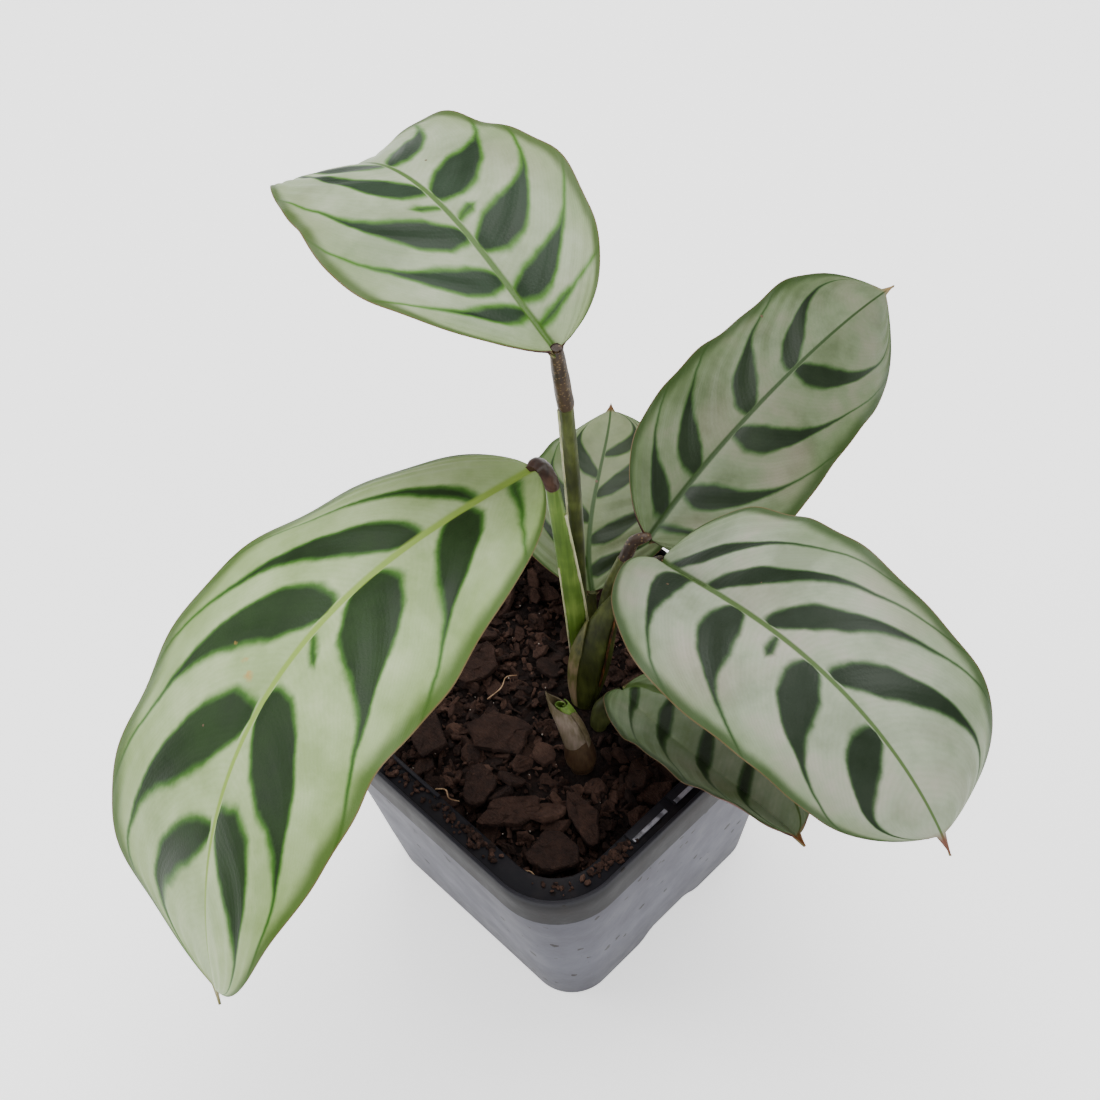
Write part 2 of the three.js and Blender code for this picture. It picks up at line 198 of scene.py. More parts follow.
for half, radius, z in outline:
    ring = rounded_square(half, radius, z)
    if z < 1:  # the foot lifts into an arch in the middle of the two X sides
        near = np.clip((8.5 - np.abs(ring[:, 1])) / 4.2, 0, 1) * (np.abs(ring[:, 0]) > 20)
        ring[:, 2] += 2.0 * near ** 2 * (3 - 2 * near)
    levels.append(ring)
pot = skin("nursery_pot", levels)


def cylinder(name, radius, x, y, low, high, around=32):
    angles = np.linspace(0, 2 * math.pi, around, endpoint=False)
    ring = np.column_stack([x + radius * np.cos(angles), y + radius * np.sin(angles),
                            np.full(around, float(low))])
    return skin(name, [ring, ring + (0, 0, high - low)])


def shape_by(thing, tools, operation):
    """Cuts or joins tools into a thing and keeps the result as its mesh."""
    for tool in tools:
        change = thing.modifiers.new(operation, "BOOLEAN")
        change.operation, change.solver, change.object = operation, "EXACT", tool
    result = thing.evaluated_get(bpy.context.evaluated_depsgraph_get())
    mesh = bpy.data.meshes.new_from_object(result)
    thing.modifiers.clear()
    thing.data = mesh
    for tool in tools:
        bpy.data.objects.remove(tool)


def bar(name, x0, x1, y0, y1, z0, z1, ease=0.18):
    """A moulded bar with eased edges."""
    rings = []
    for z, inset in ((z0, 0), (z1 - ease, 0), (z1 - 0.3 * ease, 0.3 * ease), (z1, ease)):
        a, b, c, d = x0 + inset, x1 - inset, y0 + inset, y1 - inset
        rings.append([(a, c, z), (b, c, z), (b, d, z), (a, d, z)])
    return skin(name, rings)


shape_by(pot, [cylinder("drain", 2.5, 13 * x, 13 * y, 1, 6) for x in (-1, 1) for y in (-1, 1)], "DIFFERENCE")
foot_pad = cylinder("foot_pad", 5, 0, 0, 0, 3.2)
holder = [
    bar("label_bar", 30.3, 32.6, -14, -5.4, flange_z - 0.5, flange_z + 0.45),
    bar("label_bar", 30.3, 32.6, -3.8, 4.8, flange_z - 0.5, flange_z + 0.45),
    bar("label_rib", -11, 2, -30.8, -30.1, flange_z - 0.5, flange_z + 0.8),
]
shape_by(pot, [foot_pad] + holder, "UNION")
pot.data.shade_smooth()
pot.data.set_sharp_from_angle(angle=math.radians(35))

# Smoke-grey polypropylene: a soft gloss, with painted light and shade by height, dust and dried splashes.
material, tree = new_material("smoke_grey_polypropylene")
place = add(tree, "TexCoord").outputs["Object"]
height = add(tree, "SeparateXYZ", inputs={0: place}).outputs["Z"]
# Painted light and shade by height: paler on the lower wall for light let through the thin plastic, and near
# black from the skirt up over the inner wall and flange for the shade and dark compost seen through it, with
# some dirt film on the flange as well.
painted_light_and_shade = tone_ramp(tree, stretch(tree, height, 0.0, rim_z * MM),
                       [(0.0, "#3b3b44"), (0.30, "#4c4d58"), (0.80, "#3e3e48"), (0.842, "#141316"),
                        (0.95, "#0f0e11"), (0.972, "#111013"), (1.0, "#27272c")])
cloud = noise_at(tree, place, 160.0, 5.0, 0.6)
film = stretch(tree, cloud, 0.5, 0.8, 0.0, 0.18)
dusty = mix_colours(tree, film, painted_light_and_shade, colour("#4b433e"))
ragged = add(tree, "Mix", {"data_type": "VECTOR"}, {"Factor": 0.0012, "A": place,
                                                    "B": noise_at(tree, place, 1500.0, 2.0).outputs["Color"]})
speck_cells = add(tree, "TexVoronoi", inputs={"Vector": ragged, "Scale": 330.0, "Randomness": 1.0})
speck_size = stretch(tree, add(tree, "SeparateColor",
                               inputs={0: speck_cells.outputs["Color"]}).outputs["Red"], 0.5, 1.0, 0.0, 0.27)
speck = maths(tree, "LESS_THAN", speck_cells.outputs["Distance"], speck_size)
specked = mix_colours(tree, speck, dusty, colour("#171312"))
gloss = stretch(tree, cloud, 0.35, 0.7, 0.41, 0.52)
grain = noise_at(tree, place, 900.0, 2.0)
bump = bumped(tree, grain, 0.12, 0.0002)
finish_material(tree, Base_Color=specked, Roughness=gloss, Normal=bump, IOR=1.49, Specular_IOR_Level=0.1)
finish_piece(pot, material, ["pot"])

# The outer edges of the label holder carry a painted highlight: pale strips for the sky reflected off their
# top faces.
material, tree = new_material("painted_highlight_polypropylene_edge")
place = add(tree, "TexCoord").outputs["Object"]
highlight_breakup = noise_at(tree, place, 500.0, 4.0)
tone = tone_ramp(tree, highlight_breakup, [(0.4, "#4a4a50"), (0.55, "#8a8a92")])
finish_material(tree, Base_Color=tone, Roughness=0.4, IOR=1.49)
for number, (low, high) in enumerate(((-13.7, -5.7), (-3.5, 4.5)), 1):
    finish_piece(bar(f"label_edge_{number}", 31.9, 32.7, low, high, flange_z + 0.3, flange_z + 0.55, 0.1),
                 material, [])


# ---------------------------------------------------------------- compost
# Peat and bark fines, pressed down by watering: an uneven dark brown bed about 7 mm below the rim, damp in
# the hollows, that fills the pot to its floor.
soil_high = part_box("substrate")[1][2] / MM


def soil_z(x, y):
    """Height of the compost's surface, in mm."""
    spot = Vector((x * 0.09, y * 0.09, 3.1))
    coarse = noise.noise(spot) + 0.6 * noise.noise(spot * 2.7) + 0.45 * noise.noise(spot * 6.5)
    edge = max(abs(x), abs(y)) / 31
    return soil_high - 0.3 + 0.95 * coarse - 1.1 * max(0, edge - 0.75) * 4


levels = [rounded_square(half, radius, z, 12, 30)
          for half, radius, z in ((26.1, 7.2, 4.4), (29.3, 9.3, 24), (32.1, 10.8, soil_high - 2.5))]
for inset in np.linspace(0, 1, 64)[:-1]:
    ring = rounded_square(32.1 * (1 - inset), max(10.8 - 20 * inset, 0.2 * (1 - inset) + 0.01), 0, 12, 30)
    ring[:, 2] = [soil_z(x, y) for x, y, _ in ring]
    levels.append(ring)
compost = skin("compost", levels, sharp=180)

# Peat fines: matt and almost black when damp, brown where dry, with crumbs a millimetre across.
material, tree = new_material("peat_and_bark_fines")
place = add(tree, "TexCoord").outputs["Object"]
lumps = noise_at(tree, place, 420.0, 8.0, 0.7)
crumbs = add(tree, "TexVoronoi", inputs={"Vector": place, "Scale": 900.0})
tone = tone_ramp(tree, lumps, [(0.3, "#0c0705"), (0.52, "#1a100c"), (0.72, "#312018")])
relief = maths(tree, "MULTIPLY_ADD", crumbs.outputs["Distance"], -0.8, lumps)
bump = bumped(tree, relief, 1.0, 0.0012)
finish_material(tree, Base_Color=tone, Roughness=0.92, Normal=bump, Specular_IOR_Level=0.25)
peat = material
finish_piece(compost, peat, ["substrate"])


# ---------------------------------------------------------------- bark chips
# Composted pine bark, hammer-milled and sieved: flat brittle plates and crumbs with torn edges, lying
# loose on the compost and spilled on the flange. The nine largest plates are pieces of their own.
def chip(rng, length, width, thickness, corners=11):
    """One torn plate of bark, as points and faces in mm about its own centre."""
    angles = np.linspace(0, 2 * math.pi, corners, endpoint=False) + rng.uniform(-0.15, 0.15, corners)
    breaks = np.linspace(0, 2 * math.pi, 6)[:-1] + rng.uniform(-0.45, 0.45, 5)
    facing = np.cos(angles[:, None] - breaks[None, :])
    reach = (rng.uniform(0.66, 1.0, 5)[None, :] / np.maximum(facing, 0.25)).min(axis=1).clip(0.5, 1.25)
    reach *= rng.uniform(0.93, 1.04, corners)
    layers = []
    shape = ((0.94, -0.5), (1.02, 0.1), (0.85, 0.5)) if corners < 8 else (
        (0.94, -0.5), (1.0, -0.3), (1.01, 0.32), (0.95, 0.5), (0.5, 0.52))
    for grow, up in shape:
        ring = np.column_stack([
            0.5 * length * grow * reach * np.cos(angles), 0.5 * width * grow * reach * np.sin(angles),
            np.full(corners, up * thickness)])
        ring += rng.normal(0, 1, ring.shape) * (0.008 * length, 0.012 * width, 0.07 * thickness)
        layers.append(ring)
    points = np.vstack(layers)
    faces = []
    for i in range(len(layers) - 1):
        for j in range(corners):
            a, b = i * corners + j, i * corners + (j + 1) % corners
            faces += [(a, b, b + corners), (a, b + corners, a + corners)]
    faces += [tuple(range(corners))[::-1], tuple(range(len(points) - corners, len(points)))]
    return points, faces


def turned(points, heading, tilt, lean, centre):
    spin = Matrix.Rotation(math.radians(heading), 3, "Z") @ Matrix.Rotation(math.radians(tilt), 3, "X") \
        @ Matrix.Rotation(math.radians(lean), 3, "Y")
    return points @ np.array(spin).T + centre


def heap(name, parts, tones):
    """Joins many small bodies into one object, with a tone for each body."""
    points, faces, shade, start = [], [], [], 0
    for (body, body_faces), tone in zip(parts, tones):
        points.append(body)
        faces += [tuple(start + k for k in face) for face in body_faces]
        shade += [tone] * len(body)
        start += len(body)
    mesh = bpy.data.meshes.new(name)
    mesh.from_pydata((np.vstack(points) * MM).tolist(), [], faces)
    mesh.attributes.new("tone", "FLOAT", "POINT").data.foreach_set("value", shade)
    thing = bpy.data.objects.new(name, mesh)
    bpy.context.collection.objects.link(thing)
    return thing


# Bark: matt brown, redder and paler on fresh torn faces, with fine fibres along the plate.
material, tree = new_material("composted_pine_bark")
place = add(tree, "TexCoord").outputs["Object"]
own = add(tree, "Attribute", {"attribute_name": "tone"}).outputs["Fac"]
mottle = noise_at(tree, place, 380.0, 7.0, 0.68)
mixed = maths(tree, "MULTIPLY_ADD", own, 0.55, maths(tree, "MULTIPLY", mottle, 0.55))
tone = tone_ramp(tree, mixed, [(0.22, "#0f0807"), (0.40, "#23150f"), (0.58, "#3c281f"), (0.78, "#5f463a")])
fibre = noise_at(tree, add(tree, "Mapping", inputs={"Vector": place, "Scale": (1.0, 3.5, 3.5)}), 900.0, 4.0)
bump = bumped(tree, maths(tree, "ADD", fibre, mottle), 1.0, 0.0008)
finish_material(tree, Base_Color=tone, Roughness=0.85, Normal=bump, Specular_IOR_Level=0.3)
bark = material

rng = np.random.default_rng(7)
plates = [  # length, width, thickness in mm, heading, tilt
    (12.5, 9.5, 2.0, 20, 7), (11, 5.5, 2.2, 62, 5), (11, 5, 2.4, -28, 6), (9.5, 7.5, 2.2, 35, -8),
    (10, 6, 1.8, -20, 6), (7.5, 5, 1.8, -50, -6), (9, 7, 2.0, 75, 7), (10, 7, 2.2, 30, 6),
          (9, 7, 2.0, -15, -7)]
for number, (length, width, thickness, plate_heading, tilt) in enumerate(plates, 1):
    node = f"bark_chip_{number}"
    low, high = (np.array(corner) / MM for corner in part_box(node))
    points, faces = chip(rng, 1.08 * length, 1.08 * width, 0.8 * thickness, 26)
    points += np.array([[0, 0, 0.35 * noise.noise(Vector(p) * 0.5)] for p in points])
    plate = heap(node.replace("chip", "plate"), [(turned(points, plate_heading, tilt, 0, (low + high) / 2),
                                                  faces)],
                 [rng.uniform(0.28, 0.5)])
    finish_piece(plate, bark, [node])

# where the stems come up, nothing lies on them
STEM_FEET = [(3.6, 3.6, 3.2), (9, 1.4, 2.6), (-1.2, 7.6, 2.4), (-3.3, 10.2, 2), (-6.2, 15, 2),
             (12.4, -6.5, 3.8)]
pieces, tones = [], []
for size, count in ((7.0, 36), (4.8, 150), (3.1, 560), (1.9, 1400), (1.1, 1700)):
    for _ in range(count):
        x, y = rng.uniform(-30.5, 30.5, 2)
        length = size * rng.uniform(0.75, 1.25)
        if any(math.hypot(x - a, y - b) < r + 0.35 * length for a, b, r in STEM_FEET):
            continue
        if math.hypot(max(abs(x) - 21.5, 0), max(abs(y) - 21.5, 0)) + 0.3 * length > 10:
            continue
        steep = 38 if size < 4 else 24
        points, faces = chip(rng, length, length * rng.uniform(0.4, 0.85), length * rng.uniform(0.12, 0.26),
                             10 if size > 3 else 6)
        z = soil_z(x, y) + rng.uniform(0.0, 0.28) * length + 0.15
        pieces.append((turned(points, rng.uniform(0, 360), rng.normal(0, steep), rng.normal(0, steep),
                              (x, y, z)), faces))
        tones.append(rng.uniform(0.15, 0.75) if size > 1.5 else rng.uniform(0.1, 0.9))
loose_bark = heap("loose_bark", pieces, tones)
finish_piece(loose_bark, bark, [])

# crumbs spilled on the flange: most along the -Y side and at the near corner
pieces, tones = [], []
for centre_x, centre_y, spread_x, spread_y, count, top in (
        (-17, -32, 6, 1.2, 130, 1.3), (-1, -31.6, 7, 0.9, 60, 1.0), (12, -31.4, 4, 0.9, 90, 1.2),
        (31.6, -18.5, 0.9, 2.6, 110, 1.1), (27.5, -27.5, 1.6, 1.6, 50, 0.8), (31.5, 12, 1, 6, 60, 1.0),
        (-10, 31.8, 9, 1, 60, 1.0), (-31.8, 6, 1, 10, 60, 1.0), (14, 31.8, 6, 1, 50, 1.2)):
    for _ in range(count):
        x, y = rng.normal(centre_x, spread_x), rng.normal(centre_y, spread_y)
        size = top * rng.uniform(0.35, 1.3)
        away = math.hypot(max(abs(x) - 22, 0), max(abs(y) - 22, 0))
        if not 8.6 < away < 11.4:
            continue
        points, faces = chip(rng, size, size * rng.uniform(0.5, 0.9), size * rng.uniform(0.3, 0.6), 6)
        pieces.append((turned(points, rng.uniform(0, 360), rng.normal(0, 20), rng.normal(0, 20),
                              (x, y, flange_z + 0.25 * size)), faces))
        tones.append(rng.uniform(0.15, 0.8))
spilled = heap("spilled_crumbs", pieces, tones)
finish_piece(spilled, bark, [])


# ---------------------------------------------------------------- sand grains and roots
# Sharp sand in the mix shows as pale grains, and a few fine dry roots lie on top.
pieces = []
for _ in range(70):
    x, y = rng.uniform(-27, 29), rng.uniform(-29, 27)
    size = rng.uniform(0.15, 0.42)
    points, faces = chip(rng, size, size * 0.8, size * 0.7, 6)
    pieces.append((turned(points, rng.uniform(0, 360), 0, 0, (x, y, soil_z(x, y) + rng.uniform(0.5, 1.6))),
                   faces))
sand = heap("sand_grains", pieces, [rng.uniform(0, 1) for _ in pieces])
# Quartz grains: hard, pale and a little glassy.
material, tree = new_material("quartz_sand")
place = add(tree, "TexCoord").outputs["Object"]
mottle = noise_at(tree, place, 1500.0, 3.0)
tone = tone_ramp(tree, mottle, [(0.3, "#7c6c60"), (0.6, "#c9bfb2")])
finish_material(tree, Base_Color=tone, Roughness=0.4, IOR=1.54)
finish_piece(sand, material, [])


def smooth_path(knots, count):
    """Catmull-Rom through the knots, whatever number of values each holds."""
    knots = np.asarray(knots, float)
    padded = np.vstack([2 * knots[0] - knots[1], knots, 2 * knots[-1] - knots[-2]])
    out = []
    for place in np.linspace(0, len(knots) - 1, count):
        k = min(int(place), len(knots) - 2)
        t = place - k
        a, b, c, d = padded[k:k + 4]
        out.append(0.5 * (2 * b + (c - a) * t + (2 * a - 5 * b + 4 * c - d) * t ** 2
                          + (3 * b - a - 3 * c + d) * t ** 3))
    return np.array(out)


def sections(knots, broad, stations):
    """Centres, directions and half sizes along knots of x, y, z, half breadth and half thickness, in mm.
    `broad` is the compass heading of the broad direction; the through direction points away from it, left."""
    path = smooth_path(knots, stations)
    centres = path[:, :3]
    tangent = np.gradient(centres, axis=0)
    tangent /= np.linalg.norm(tangent, axis=1, keepdims=True)
    wide = np.array([math.cos(math.radians(broad)), math.sin(math.radians(broad)), 0])
    across = wide - tangent * (tangent @ wide)[:, None]
    across /= np.linalg.norm(across, axis=1, keepdims=True)
    return centres, across, np.cross(tangent, across), path[:, 3], path[:, 4]


FOOT_SINKS = 1.2  # mm that a stem's level foot goes below its first knot


def swept(name, knots, broad, stations=48, around=28, section=None, level_foot=False):
    """A body swept along knots; section(angle, t) scales its oval."""
    centres, across, through, breadth, depth = sections(knots, broad, stations)
    angles = np.linspace(0, 2 * math.pi, around, endpoint=False)
    rings = []
    for i, t in enumerate(np.linspace(0, 1, stations)):
        scale = np.array([section(a, t) if section else 1.0 for a in angles])[:, None]
        ring = centres[i] + scale * (across[i] * (breadth[i] * np.cos(angles))[:, None]
                                     + through[i] * (depth[i] * np.sin(angles))[:, None])
        if level_foot and i == 0:
            ring[:, 2] = centres[i][2] - FOOT_SINKS
        rings.append(ring)
    return skin(name, rings, True, sharp=60)


roots = [
    [(-2.5, -28, 50.6, .13, .13), (-0.6, -27.2, 51.6, .13, .13), (0.9, -27.8, 51.2, .12, .12),
     (2.4, -26.8, 50.6, .1, .1)],
    [(-9, -9, 51.4, .1, .1), (-8.4, -6, 52.4, .1, .1), (-9.6, -3.6, 52, .1, .1), (-9, -1.5, 51, .08, .08)],
    [(20, -29, 50.4, .12, .12), (22, -28.2, 52, .12, .12), (24.5, -28.6, 51.6, .1, .1),
     (26, -27.4, 50.8, .1, .1)],
]
# Dry roots: pale straw-coloured threads.
material, tree = new_material("dry_root")
place = add(tree, "TexCoord").outputs["Object"]
tone = tone_ramp(tree, noise_at(tree, place, 700.0), [(0.3, "#8c6a4c"), (0.7, "#c7a985")])
finish_material(tree, Base_Color=tone, Roughness=0.7)
for number, knots in enumerate(roots, 1):
    finish_piece(swept(f"root_{number}", knots, 90, 26, 8), material, [])


# ---------------------------------------------------------------- main sheath
# The leaf stalks rise from one crown. Two old stalks are wrapped in this olive sheath, an oval tube of
# leaf tissue with a dry orange-brown split down one side and a thin purplish lip over the other.
STEM_BROAD = 50  # heading of the broad side of the stalks, the main sheath and the shoot, in degrees


def stalk_material(name, dark, mid, light, streak=0.5, speckle=None):
    """Stalk skin: smooth and waxy with fine lengthwise fibres, and corky specks where asked for."""
    material, tree = new_material(name)
    place = add(tree, "TexCoord").outputs["Object"]
    along = add(tree, "Mapping", inputs={"Vector": place, "Scale": (1.0, 1.0, 0.06)})
    fibres = noise_at(tree, along, 1500.0, 3.0)
    cloud = noise_at(tree, place, 160.0, 3.0)
    mixed = add(tree, "Mix", {"data_type": "FLOAT"}, {"Factor": streak, "A": cloud, "B": fibres})
    tone = tone_ramp(tree, mixed, [(0.35, dark), (0.5, mid), (0.66, light)])
    if speckle:
        dots = add(tree, "TexVoronoi", inputs={"Vector": place, "Scale": 1700.0})
        where = stretch(tree, dots.outputs["Distance"], 0.34, 0.22)
        tone = mix_colours(tree, where, tone, colour(speckle))
    bump = bumped(tree, fibres, 0.35, 0.0002)
    finish_material(tree, Base_Color=tone, Roughness=0.5, Normal=bump, IOR=1.42)
    return material


olive = stalk_material("olive_stalk", "#282c0d", "#3b4217", "#565f2a", 0.3)
sheath_knots = [(3.6, 3.6, 50.3, 2.1, 2.0), (3.3, 4.9, 55, 3.2, 2.2), (3.2, 6.6, 61, 3.6, 2.1),
                (3.3, 8.8, 66, 2.9, 1.8),
                (3.5, 11.0, 70, 2.0, 1.4), (3.9, 12.4, 73, 1.0, 0.8)]


def split_side(angle, t):
    """A groove down the sheath's near right side, with a fine keel beside it."""
    off = (math.degrees(angle) + 52 + 180) % 360 - 180
    return 1 - 0.13 * math.exp(-(off / 8) ** 2) + 0.05 * math.exp(-((off + 20) / 7) ** 2)


sheath = swept("main_sheath", sheath_knots, STEM_BROAD, 60, 96, split_side, level_foot=True)
finish_piece(sheath, olive, ["sheath_main"])


def edge_strip(name, knots, broad, angle, width, stand, span=(0, 1), stations=50):
    """A dry membrane edge that lies along a stalk at one angle round it, in degrees."""
    centres, across, through, breadth, depth = sections(knots, broad, stations)
    turn = math.radians(angle)
    rings = []
    for i in range(int(span[0] * (stations - 1)), int(span[1] * (stations - 1)) + 1):
        outer = centres[i] + across[i] * breadth[i] * math.cos(turn) + through[i] * depth[i] * math.sin(turn)
        out = outer - centres[i]
        out /= np.linalg.norm(out)
        beside = np.cross(np.cross(across[i], through[i]), out)
        wave = 1 + 0.25 * math.sin(i * 0.9) + 0.15 * math.sin(i * 2.3)
        rings.append([outer + beside * width * wave * math.cos(a) + out * (stand * math.sin(a))
                      for a in np.linspace(0, 2 * math.pi, 10, endpoint=False)])
    return skin(name, rings)


dry_edge = stalk_material("dry_sheath_edge", "#2f1b0c", "#5f3a19", "#94622f", 0.8)
finish_piece(edge_strip("sheath_split", sheath_knots, STEM_BROAD, -52, 0.3, 0.2, (0.22, 0.9)), dry_edge, [])


def thick_sheet(name, grid, thickness, sharp=50):
    """A closed sheet from a grid of points in mm; thickness is one value or a value for each point."""
    grid = np.asarray(grid, float)
    rows, columns = grid.shape[:2]
    normal = np.cross(np.gradient(grid, axis=0), np.gradient(grid, axis=1))
    normal /= np.maximum(np.linalg.norm(normal, axis=2, keepdims=True), 1e-9)
    under = grid + normal * np.broadcast_to(thickness, (rows, columns))[:, :, None]
    points = np.vstack([grid.reshape(-1, 3), under.reshape(-1, 3)])
    faces, size = [], rows * columns
    for i in range(rows - 1):
        for j in range(columns - 1):
            a, b, c, d = i * columns + j, i * columns + j + 1, (i + 1) * columns + j + 1, (i
                + 1) * columns + j
            faces += [(d, c, b, a), (a + size, b + size, c + size, d + size)]
    rim = [(0, j) for j in range(columns)] + [(i, columns - 1) for i in range(1, rows)]
    rim += [(rows - 1, j) for j in range(columns - 2, -1, -1)] + [(i, 0) for i in range(rows - 2, 0, -1)]
    for (i0, j0), (i1, j1) in zip(rim, rim[1:] + rim[:1]):
        a, b = i0 * columns + j0, i1 * columns + j1
        faces.append((a, b, b + size, a + size))
    mesh = bpy.data.meshes.new(name)
    mesh.from_pydata((points * MM).tolist(), [], faces)
    mesh.shade_smooth()
    mesh.set_sharp_from_angle(angle=math.radians(sharp))
    thing = bpy.data.objects.new(name, mesh)
    bpy.context.collection.objects.link(thing)
    return thing


def wrap(name, knots, broad, turn_from, turn_to, spread, top, stations=44, around=60, thickness=0.22):
    """A thin leaf sheath rolled round a stalk: `spread` is how far out it stands at its two margins, and
    top(angle) is how far up it reaches, from 0 to 1."""
    centres, across, through, breadth, depth = sections(knots, broad, 120)
    grid = []
    for j, turn in enumerate(np.linspace(turn_from, turn_to, around)):
        share, reach = j / (around - 1), top(turn)
        column = []
        for t in np.linspace(0, reach, stations):
            i = min(int(t * 119), 118)
            f = t * 119 - i
            at = [(1 - f) * field[i] + f * field[i + 1] for field in (centres, across, through, breadth,
                depth)]
            out = (1 - share) * spread[0] + share * spread[1]
            a = math.radians(turn)
            column.append(at[0] + at[1] * (at[3] + out) * math.cos(a) + at[2] * (at[4] + out) * math.sin(a))
        grid.append(column)
    return thick_sheet(name, grid, thickness)


# the thin lip of the older sheath laps over the left of the main one
lip = wrap("sheath_lip", sheath_knots[:5], STEM_BROAD, -222, -128, (0.15, 0.4),
           lambda turn: 0.84 - 0.22 * ((turn + 178) / 45) ** 2)
finish_piece(lip, stalk_material("purple_green_lip", "#3c3f1f", "#5d5d30", "#86745a", 0.35), [])

low_knots = [(9, 1.4, 50.3, 1.6, 1.4), (9.3, 3.2, 53.4, 2.2, 1.5), (9.9, 5, 56.6, 1.0, 0.8),
             (10.5, 6.2, 57.3, 0.7, 0.5)]
low_sheath = swept("low_sheath", low_knots, 30, 40, 32, level_foot=True)
finish_piece(low_sheath, stalk_material("low_sheath_skin", "#25280f", "#3a401c", "#555c30", 0.3),
             ["sheath_low"])


# ---------------------------------------------------------------- leaf stalks and leaf joints
# Each leaf stands on a smooth round stalk, edged with the dry margin of its own sheath. At the top a short
# swollen joint, brown and corky, turns the blade to the light.
stalks = {
    "petiole_top": [(-3.3, 10.2, 50.3, 1.2, 1.1), (-3.2, 10.4, 66, 1.25, 1.1), (-2.9, 10.6, 84, 1.25, 1.1),
                    (-1.5, 9.5, 100, 1.25, 1.1), (2.6, 5.6, 127.0, 1.15, 1.1)],
    "petiole_front": [(-1.2, 7.6, 50.3, 1.7, 1.2), (-1.2, 7.6, 60, 1.95, 1.25), (-1.4, 7.4, 72, 1.95, 1.25),
                      (-2, 6.9, 86, 1.6, 1.2), (-2.5, 5.8, 104.3, 1.2, 1.1)],
    "petiole_back": [(1.2, 12, 67.2, 1.2, 1.1), (0.7, 14.8, 72, 1.2, 1.1), (1, 17.6, 76.3, 1.2, 1.15)],
    "petiole_side": [(4.6, 11.4, 67.2, 1.2, 1.1), (6, 12.6, 73, 1.2, 1.1), (8.2, 13.9, 79.3, 1.2, 1.15)],
    "petiole_hind": [(-6.2, 15, 50.3, 1.1, 1.0), (-6.7, 16, 55, 1.1, 1.0), (-7.4, 17.3, 59.4, 0.8, 0.6)],
}
fresh = stalk_material("bright_green_stalk", "#44601a", "#577526", "#7a943f", 0.45)
for name, knots in stalks.items():
    stalk = swept(name.replace("petiole", "stalk"), knots, STEM_BROAD, 70, 36,
                  level_foot=knots[0][2] < 51)
    finish_piece(stalk, fresh if name == "petiole_front" else olive, [name])
pale_edge = stalk_material("pale_stalk_margin", "#8f9463", "#b5b78a", "#d2cdae", 0.6)
finish_piece(edge_strip("top_stalk_margin", stalks["petiole_top"], STEM_BROAD, 190, 0.22, 0.28, (0.25, 0.99),
                        90),
             pale_edge, [])
finish_piece(edge_strip("front_stalk_wing", stalks["petiole_front"], STEM_BROAD, -20, 0.36, 0.22, (0.1, 0.9),
                        90),
             pale_edge, [])
finish_piece(edge_strip("front_stalk_margin", stalks["petiole_front"], STEM_BROAD, 205, 0.22, 0.18,
                        (0.05, 0.7), 90),
             pale_edge, [])

joints = {
    "pulvinus_top": (50, [(2.62, 5.6, 126.6, 1.2, 1.15), (2.75, 5.4, 127.6, 1.32, 1.28),
                          (3.9, 3.9, 135, 1.25, 1.2),
                          (5.2, 2.35, 142.2, 1.0, 0.9), (5.6, 2.0, 143.4, 0.7, 0.5)]),
    "pulvinus_front": (0, [(-2.5, 5.8, 103.9, 1.35, 1.2), (-2.5, 5.4, 105.6, 1.5, 1.35),
                           (-2.4, 4.2, 109.4, 1.55, 1.4),
                           (-1.7, 2.4, 112.6, 1.3, 1.1), (-1.0, 0.6, 113.4, 1.0, 0.6)]),
    "pulvinus_back": (-10, [(1.0, 17.5, 76.0, 1.1, 1.1), (1.2, 18.2, 77.2, 1.15, 1.15),
                            (1.8, 19.4, 80.2, 1.1, 1.1),
                            (3.0, 20.8, 81.2, 1.0, 0.9), (3.5, 21.9, 81.0, 0.7, 0.5)]),
    "pulvinus_side": (70, [(8.1, 13.9, 79.0, 1.1, 1.1), (8.6, 14.1, 80.2, 1.15, 1.15),
                           (9.7, 14.8, 84.0, 1.1, 1.1),
                           (11.3, 15.5, 87.1, 1.0, 0.8), (12.3, 15.6, 88.0, 0.7, 0.5)]),
}
corky = stalk_material("corky_leaf_joint", "#1c110b", "#2f1f15", "#42301f", 0.3, speckle="#6a5638")
smooth_joint = stalk_material("maroon_leaf_joint", "#241511", "#38241b", "#4d3427", 0.3)
for name, (broad, knots) in joints.items():
    swelling = swept(name.replace("pulvinus", "leaf_joint"), knots, broad, 50, 32,
                     lambda angle, t: 1 + 0.02 * math.sin(5 * angle + 30 * t))
    finish_piece(swelling, smooth_joint if name == "pulvinus_front" else corky, [name])


# ---------------------------------------------------------------- new shoot
# A side shoot just out of the compost: a brown scale leaf clasps its foot, and a pointed purplish sheath
# rolls round the next leaf, whose bright green edge shows where the sheath opens.
scale_knots = [(12.6, -6.4, 50.3, 2.1, 2.1), (12.5, -6.4, 51.6, 2.7, 2.6), (12.1, -6.4, 54, 2.75, 2.6),
               (11.5, -6.3, 57.2, 2.2, 2.05)]


def clasp(angle, t):
    """The scale's upper edge lies a little proud of the sheath, lower at one side than the other."""
    return 1 + 0.04 * math.cos(angle - 0.6) * t


scale = swept("shoot_scale_leaf", scale_knots, STEM_BROAD, 40, 48, clasp, level_foot=True)
finish_piece(scale, stalk_material("brown_scale_leaf", "#24170f", "#3b2a1b", "#54422c", 0.35),
             ["shoot_scale"])
sheath_path = [(12.0, -6.35, 55.0, 2.15, 2.0), (11.3, -6.3, 57.4, 2.2, 2.1), (10, -6.4, 60.8, 2.0, 1.85),
               (7.9, -6.85, 64.8, 1.35, 1.2), (6.3, -7.25, 68, 0.35, 0.3)]


def shoot_mouth(turn):
    """How far up the sheath reaches at each angle round the shoot; its inner margin is cut low."""
    return 0.80 + 0.2 * math.cos(math.radians(turn + 195)) if turn > -380 else 0.62


